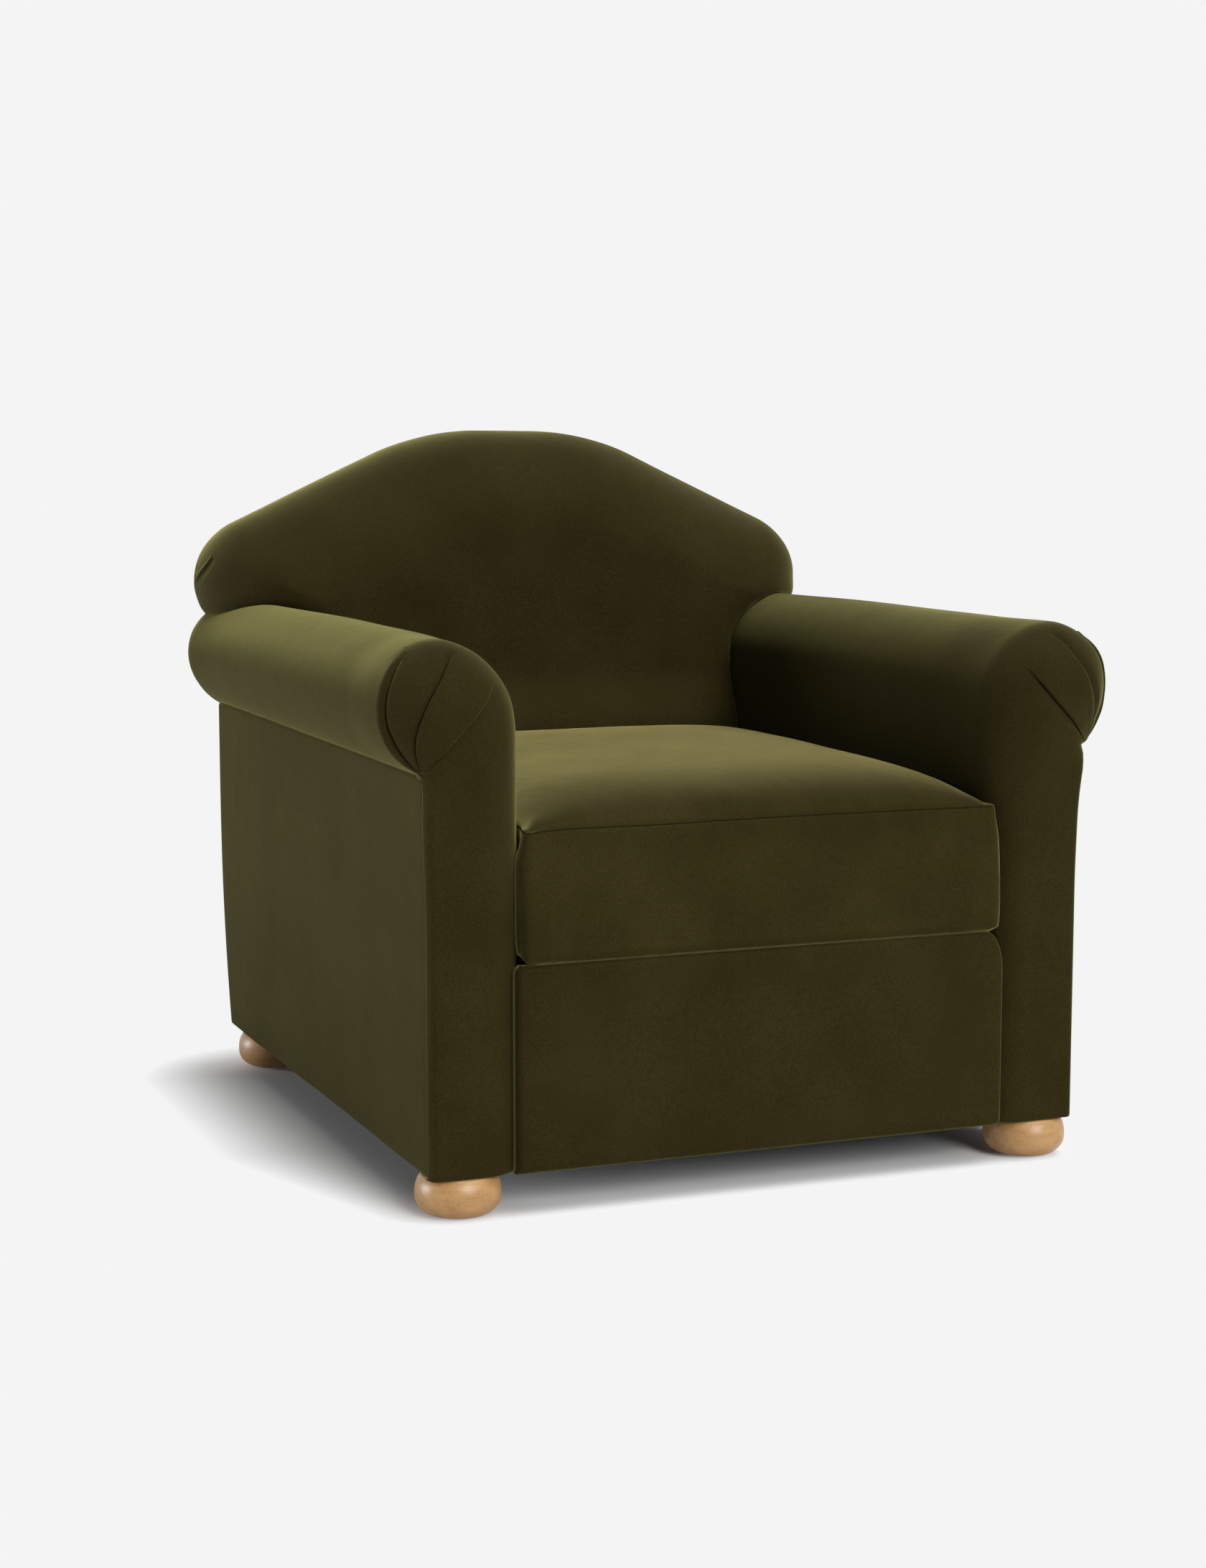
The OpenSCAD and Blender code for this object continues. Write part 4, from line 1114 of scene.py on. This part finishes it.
def cushion_plan(u, v, inset, spread, radius):
    """Outline and inside of the cushion seen from above, with rounded corners."""
    hy = CUSHION_Y - inset + 1.5 * smooth(-v, 0.5, 1)
    hx = CUSHION_X + 1.0 - inset + spread * wedge(CUSHION_MID + v * hy)
    x, y = u * hx, v * hy
    dx, dy = np.abs(x) - (hx - radius), np.abs(y) - (hy - radius)
    corner = (dx > 0) & (dy > 0)
    reach = np.where(corner, np.maximum(dx, dy) / np.maximum(np.hypot(dx, dy), 1e-6), 1)
    x = np.where(corner, np.sign(x) * (hx - radius + dx * reach), x)
    y = np.where(corner, np.sign(y) * (hy - radius + dy * reach), y)
    x = x - np.sign(x) * SIDE_DRAW * (1 - v ** 2) * np.abs(u) ** 4
    y = y - np.sign(y) * END_DRAW * (1 - u ** 2) * np.abs(v) ** 4
    return x, y + CUSHION_MID


def loop_outward(loop):
    """Outward unit normals in plan of a closed loop of points."""
    along = np.roll(loop, -1, axis=0) - np.roll(loop, 1, axis=0)
    normal = unit(np.stack([along[:, 1], -along[:, 0], np.zeros(len(loop))], 1))
    centre = np.array([0, CUSHION_MID, 0])
    return normal * np.sign(((loop - centre) * normal).sum(axis=1, keepdims=True))


def cushion_shape():
    """Points of the top, the boxing's rows and the underside before the simulation."""
    u, v = np.meshgrid(edge_dense(ACROSS), edge_dense(DEEP))
    x, y = cushion_plan(u, v, inset=0.0, spread=0.4, radius=7.0)
    corner = np.abs(u) ** 8 * np.abs(v) ** 8
    crown = CROWN * np.sqrt(np.clip((1 - np.abs(u) ** 5) * (1 - np.abs(v) ** 5), 0, 1))
    droop = 2.0 * bell(np.hypot(x + CUSHION_X, y - CUSHION_MID + CUSHION_Y), 20.0)
    top = np.stack([x, y, SEAM_Z + crown - 1.5 * corner - droop], -1)
    outward = loop_outward(top[ON_RIM])
    front = np.maximum(0, -outward[:, 1])
    seam_z = top[ON_RIM][:, 2]
    foot = CUSHION_LOW[2] - LIP_DROP * smooth(front, 0.2, 0.9)
    sides = mix(0.35, 1, np.abs(outward[:, 1]))
    boxing = []
    for t in np.linspace(0, 1, BOXING_ROWS + 2)[1:-1] ** 0.85:
        full = float(smooth(t, 0, 0.25) * (1 - 0.3 * smooth(t, 0.85, 1)))
        row_x, row_y = cushion_plan(u, v, 0.0, mix(0.4, 0.98, full), mix(7.0, 15.0, full))
        bulge = 2.5 * math.sin(math.pi * t) * sides + 8.0 * front ** 2 * smooth(t, 0, 0.85)
        out = bulge - 10.0 * mix(1, 0.6, corner[ON_RIM]) * round_over((1 - t) / 0.09)
        row = np.stack([row_x[ON_RIM], row_y[ON_RIM], mix(seam_z, foot, t)], 1)
        boxing.append(row + outward * out[:, None])
    x, y = cushion_plan(u, v, inset=11.0, spread=0.9, radius=10.0)
    lip = smooth(-v, 0.955, 1.0)
    under = np.stack([x, y - 7.0 * lip, CUSHION_LOW[2] - LIP_DROP * lip], -1)
    return np.concatenate([top.reshape(-1, 3), np.array(boxing).reshape(-1, 3), under.reshape(-1, 3)])


def cushion_faces(rows):
    """Quads of the top, of the given number of rows round the cushion and of the underside."""
    under_at = TOP_COUNT + rows * AROUND
    faces = [tuple(reversed(f)) for f in grid_faces(DEEP, ACROSS)]
    faces += grid_faces(DEEP, ACROSS, under_at)
    rings = [RIM_AT, *(TOP_COUNT + np.arange(rows * AROUND).reshape(rows, AROUND)), under_at + RIM_AT]
    for upper, lower in zip(rings, rings[1:]):
        quads = np.stack([upper, np.roll(upper, -1), np.roll(lower, -1), lower], 1)
        faces += [tuple(quad) for quad in quads.tolist()]
    return faces


def blow_up(points):
    """The points after a short cloth simulation with air pressure."""
    piece = new_mesh("cushion_draft", points, cushion_faces(BOXING_ROWS), VELVET, weld=0.0)
    y, z = points[:, 1], points[:, 2]
    below_seam = z < SEAM_Z - 1
    at_zip = (y > CUSHION_MID + CUSHION_Y - 14) & below_seam
    # The underside and the place of the zip are held, and the seam nearly so
    held = piece.vertex_groups.new(name="held")
    held.add(np.flatnonzero((z < CUSHION_LOW[2] + 9) | at_zip).tolist(), 1.0, "REPLACE")
    held.add(RIM_AT.tolist(), 0.9, "REPLACE")
    cloth = piece.modifiers.new("cloth", "CLOTH")
    settings = cloth.settings
    settings.quality = 4
    settings.mass = 0.25
    settings.tension_stiffness = 12
    settings.compression_stiffness = 6
    settings.shear_stiffness = 4
    settings.bending_stiffness = 0.6
    settings.shrink_min = -0.012
    settings.vertex_group_mass = "held"
    settings.use_pressure = True
    settings.uniform_pressure_force = 4.0
    settings.effector_weights.gravity = 0
    cloth.collision_settings.use_collision = False
    scene = bpy.context.scene
    scene.frame_start, scene.frame_end = 1, LAST_FRAME
    cloth.point_cache.frame_start, cloth.point_cache.frame_end = 1, LAST_FRAME
    for frame_number in range(1, LAST_FRAME + 1):
        scene.frame_set(frame_number)
    graph = bpy.context.evaluated_depsgraph_get()
    move = from_frame(piece.evaluated_get(graph).data.vertices) - points
    scene.frame_set(1)
    bpy.data.objects.remove(piece)
    length = np.linalg.norm(move, axis=1, keepdims=True)
    move = move * np.minimum(1, MOST_MOVE / np.maximum(length, 1e-9))
    from_corner = np.hypot(CUSHION_X - np.abs(points[:, 0]), CUSHION_Y - np.abs(y - CUSHION_MID))
    return points + move * np.where(below_seam, smooth(from_corner, 18, 60), 1)[:, None]


# Rows from the top over the seam's welt and groove to the boxing: distance outwards, and upwards
SEAM_ROWS = [(-0.6, 0.9), (-4.0, 0.2), (-0.9, -0.7), (-0.1, -1.5), (0.25, -3.4)]


def cushion_cover():
    """The cushion, and the line along the rear of its boxing where the zip lies."""
    points = cushion_shape()
    points = blow_up(points)
    top, boxing, under = np.split(points, [TOP_COUNT, TOP_COUNT + BOXING_ROWS * AROUND])
    top = top.reshape(DEEP, ACROSS, 3)
    top = top + [0, 0, 1] * (0.8 * lumps(top, 120, 71.0))[..., None]
    seam = top[ON_RIM]
    seam[:, 2] += 0.35 * lumps(seam, 17, 77.0) + 0.5 * lumps(seam, 60, 79.0)
    outward = loop_outward(seam)
    top[ON_RIM] = seam + outward * -0.2 + [0, 0, 1.5]
    rings = np.concatenate([seam + outward * out + [0, 0, up] for out, up in SEAM_ROWS])
    points = np.concatenate([top.reshape(-1, 3), rings, boxing, under])
    faces = cushion_faces(len(SEAM_ROWS) + BOXING_ROWS)
    # The cushion gets the lighter copy of the velvet, painted light for its brighter top and front.
    piece = new_mesh("seat_cushion", points, faces, LIT_CUSHION_VELVET)
    outwards(piece, (0, CUSHION_MID, CUSHION_LOW[2] + 80))
    zip_row = boxing.reshape(BOXING_ROWS, AROUND, 3)[int(0.45 * BOXING_ROWS)]
    rear_side = zip_row[zip_row[:, 1] > CUSHION_MID + CUSHION_Y - 12]
    return piece, rear_side[np.argsort(rear_side[:, 0])]


cushion, cushion_rear = cushion_cover()
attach(cushion, "cushion")
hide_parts("cushion_cover", "cushion_core")


# Zip: two tapes, a coil and a slider with its pull on the rear of the cushion

# One tape's section: distance behind the cushion, and height from the zip's middle line
TAPE = [(0.1, 1.0), (0.9, 1.2), (1.1, 5), (0.9, 10.6), (0.3, 11.2), (-1.2, 10.8), (-1.2, 1.4)]
TOOTH_STEP = 2.6


def block(low, high, bevel):
    """Points and faces of a bevelled block as a stack of rounded rings along z."""
    left, front, right, rear = low[0] + bevel, low[1] + bevel, high[0] - bevel, high[1] - bevel
    corners = ((right, rear), (left, rear), (left, front), (right, front))
    turns = [(x, y, math.radians(90 * k + 30 * i)) for k, (x, y) in enumerate(corners)
             for i in range(4)]
    levels = ((low[2], 0), (low[2] + 0.3 * bevel, 0.7 * bevel), (low[2] + bevel, bevel),
              (high[2] - bevel, bevel), (high[2] - 0.3 * bevel, 0.7 * bevel), (high[2], 0))
    points = np.array([(x + reach * math.cos(a), y + reach * math.sin(a), z)
                       for z, reach in levels for x, y, a in turns])
    count = len(turns)
    faces = grid_faces(len(levels), count, closed=True)
    faces += [tuple(reversed(range(count))), tuple(range(len(points) - count, len(points)))]
    return points, faces


def zip_fastener():
    """The strap with its tapes and coil, and the slider."""
    mid_z = (ZIP_LOW[2] + ZIP_HIGH[2]) / 2
    xs = np.linspace(ZIP_LOW[0] + 1, ZIP_HIGH[0] - 1, 90)
    surface = np.interp(xs, cushion_rear[:, 0], cushion_rear[:, 1])
    count = len(TAPE)
    ends = [tuple(range(count)), tuple(reversed(range((len(xs) - 1) * count, len(xs) * count)))]
    parts = []
    for side in (-1, 1):
        points = np.array([(x, y + dy, mid_z + side * dz) for x, y in zip(xs, surface)
                           for dy, dz in TAPE])
        parts.append((points, grid_faces(len(xs), count, closed=True) + ends))
    for x in np.arange(ZIP_LOW[0] + 4, ZIP_HIGH[0] - 4, TOOTH_STEP):
        y = float(np.interp(x, xs, surface))
        parts.append(block((x - 0.8, y - 0.4, mid_z - 2.4), (x + 0.8, y + 1.7, mid_z + 2.4), 0.4))
    x = ZIP_HIGH[0] - 16
    y = float(np.interp(x, xs, surface))
    body = block((x - 5, y + 1.2, mid_z - 4.5), (x + 5, y + 3.4, mid_z + 4.5), 0.9)
    pull = block((x - 2.6, y + 2.2, mid_z - 24), (x + 2.6, y + 3.8, mid_z - 1), 0.7)
    return (from_parts("cushion_zip_strap", parts, MATERIALS["zip_tape"], weld=0.0),
            from_parts("cushion_zip_slider", [body, pull], MATERIALS["spring_steel"], weld=0.0))


zip_strap, zip_slider = zip_fastener()
for piece, slot in ((zip_strap, "zip_tape"), (zip_slider, "spring_steel")):
    even_normals(piece)
    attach(piece, "cushion")
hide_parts("cushion_zip")


# Feet: turned buns

FOOT_WIDE_Z = 26.0                 # height where a foot is widest
FOOT_SOLE_Z = 3.0                  # underside of the wood, above the glide


def foot_radius(z, wide_r):
    """Radius of a bun foot at height z, of which wide_r is the largest."""
    height = FOOT_WIDE_Z + 3 if z < FOOT_WIDE_Z else 38.0
    return wide_r * (1 - min(1, abs(z - FOOT_WIDE_Z) / height) ** 2.4) ** (1 / 2.4)


def bun_foot(name):
    """One foot as a turned solid, with its neck on top."""
    low, high = node_box(name)
    x, y = ((low + high) / 2)[:2]
    wide_r = (high[0] - low[0]) / 2
    top = BASE_Z - 0.3
    sole_r = foot_radius(4.2, wide_r) - 3
    profile = [(0.01, FOOT_SOLE_Z)] + [(r, FOOT_SOLE_Z) for r in np.linspace(8, sole_r, 5)]
    profile += [(foot_radius(z, wide_r), z) for z in np.linspace(4.4, top - 1.2, 30)]
    profile += [(foot_radius(top, wide_r) - 1.2, top), (20.0, top), (20.0, high[2]),
                (0.01, high[2])]
    angles = np.linspace(0, 2 * math.pi, 72, endpoint=False)
    grid = np.array([[(x + r * math.cos(a), y + r * math.sin(a), z) for a in angles]
                     for r, z in profile])
    piece = from_parts(name + "_bun", [grid_part(grid, closed=True)], MATERIALS["oak"])
    even_normals(piece)
    return piece


for place in FEET:
    foot = bun_foot("foot_" + place)
    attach(foot, "chair")
    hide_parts("foot_" + place)


# Studio: floor, light and camera

BACKGROUND = (0.905, 0.905, 0.905, 1)
FLOOR_HALF = 40.0                  # half the side of the floor
SHADE_HALF = 0.379                 # half the width of the fully shaded floor under the chair
SHADE_Y = (60, 380, 800)           # its front end, where its edge gets broadest, and its rear end
SHADE_WIDTHS = (0.07, 0.195)       # width of the shadow's edge at the front and further back
# Name, direction towards the light, strength, and angle that it covers
LIGHTS = (("key", (0.37, 0.02, 0.93), 1.30, 38), ("front", (0.18, -0.88, 0.46), 2.48, 30),
          ("rear", (0.40, 0.78, 0.48), 0.60, 40), ("side", (-0.9, 0.42, 0.12), 2.10, 22),
          ("top", (0.30, -0.25, 1.0), 0.82, 34))
CAMERA_PLACE = Vector((-1.37524, -3.42039, 0.90197))
CAMERA_VIEW = Vector((0.36646, 0.92181, -0.12637))
LENS = 63.47


def add_object(name, data):
    """A new object in the scene."""
    holder = bpy.data.objects.new(name, data)
    bpy.context.scene.collection.objects.link(holder)
    return holder


def aim(holder, direction):
    """Turns a lamp or the camera so that it looks along the direction."""
    holder.rotation_euler = direction.to_track_quat("-Z", "Y").to_euler()


def floor_fade(tree):
    """0 on the floor under the chair and 1 beyond its shadow, which is broader towards the rear."""
    front, middle, rear = (float(to_frame((0, y, 0))[1]) for y in SHADE_Y)
    place = add_node(tree, "SeparateXYZ", {0: object_place(tree)})
    x, y = place.outputs["X"], place.outputs["Y"]
    aside = calculate(tree, "SUBTRACT", calculate(tree, "ABSOLUTE", x), SHADE_HALF)
    ahead, behind = calculate(tree, "SUBTRACT", front, y), calculate(tree, "SUBTRACT", y, rear)
    squares = []
    for outside in (aside, calculate(tree, "MAXIMUM", ahead, behind)):
        outside = calculate(tree, "MAXIMUM", outside)
        squares.append(calculate(tree, "MULTIPLY", outside, outside))
    distance = calculate(tree, "SQRT", calculate(tree, "ADD", *squares))
    width = add_node(tree, "MapRange", {
        "Value": y, "From Min": front - 0.06, "From Max": middle,
        "To Min": SHADE_WIDTHS[0], "To Max": SHADE_WIDTHS[1]}).outputs["Result"]
    share = calculate(tree, "MINIMUM", calculate(tree, "DIVIDE", distance, width), 1.0)
    return calculate(tree, "MULTIPLY", share, share)


def blend_shaders(tree, output, factor, first, second):
    """Ends a tree with two shaders blended."""
    blend = add_node(tree, "MixShader", {"Fac": factor, 1: first.outputs[0], 2: second.outputs[0]})
    add_node(tree, output, {"Surface": blend.outputs[0]})


def studio():
    """White floor and surroundings, which the camera sees in the background's colour."""
    mesh = bpy.data.meshes.new("floor")
    mesh.from_pydata([(x * FLOOR_HALF, y * FLOOR_HALF, 0) for x, y in (
        (-1, -1), (1, -1), (1, 1), (-1, 1))], [], [(0, 1, 2, 3)])
    floor = add_object("floor", mesh)
    material, tree, _ = new_material("floor")
    tree.nodes.clear()
    rays = tree.nodes.new("ShaderNodeLightPath").outputs
    blend_shaders(tree, "OutputMaterial",
                  calculate(tree, "MULTIPLY", rays["Is Camera Ray"], floor_fade(tree)),
                  add_node(tree, "BsdfDiffuse", {"Color": (0.80, 0.80, 0.80, 1)}),
                  add_node(tree, "Emission", {"Color": BACKGROUND}))
    mesh.materials.append(material)

    world = bpy.data.worlds.new("studio")
    bpy.context.scene.world = world
    world.use_nodes = True
    tree = world.node_tree
    tree.nodes.clear()
    rays = tree.nodes.new("ShaderNodeLightPath").outputs
    blend_shaders(tree, "OutputWorld",
                  calculate(tree, "MAXIMUM", rays["Is Camera Ray"], rays["Is Glossy Ray"]),
                  add_node(tree, "Background", {"Color": (1.0, 1.0, 1.0, 1), "Strength": 0.02}),
                  add_node(tree, "Background", {"Color": BACKGROUND}))


studio()
for name, towards, power, spread in LIGHTS:
    lamp = bpy.data.lights.new(name, "SUN")
    lamp.energy = power
    lamp.angle = math.radians(spread)
    aim(add_object(name, lamp), -Vector(towards))
lens = bpy.data.cameras.new("camera")
lens.sensor_width = 36
lens.lens = LENS
camera = add_object("camera", lens)
camera.location = CAMERA_PLACE
aim(camera, CAMERA_VIEW)
bpy.context.scene.camera = camera
bpy.context.scene.view_settings.view_transform = "Standard"
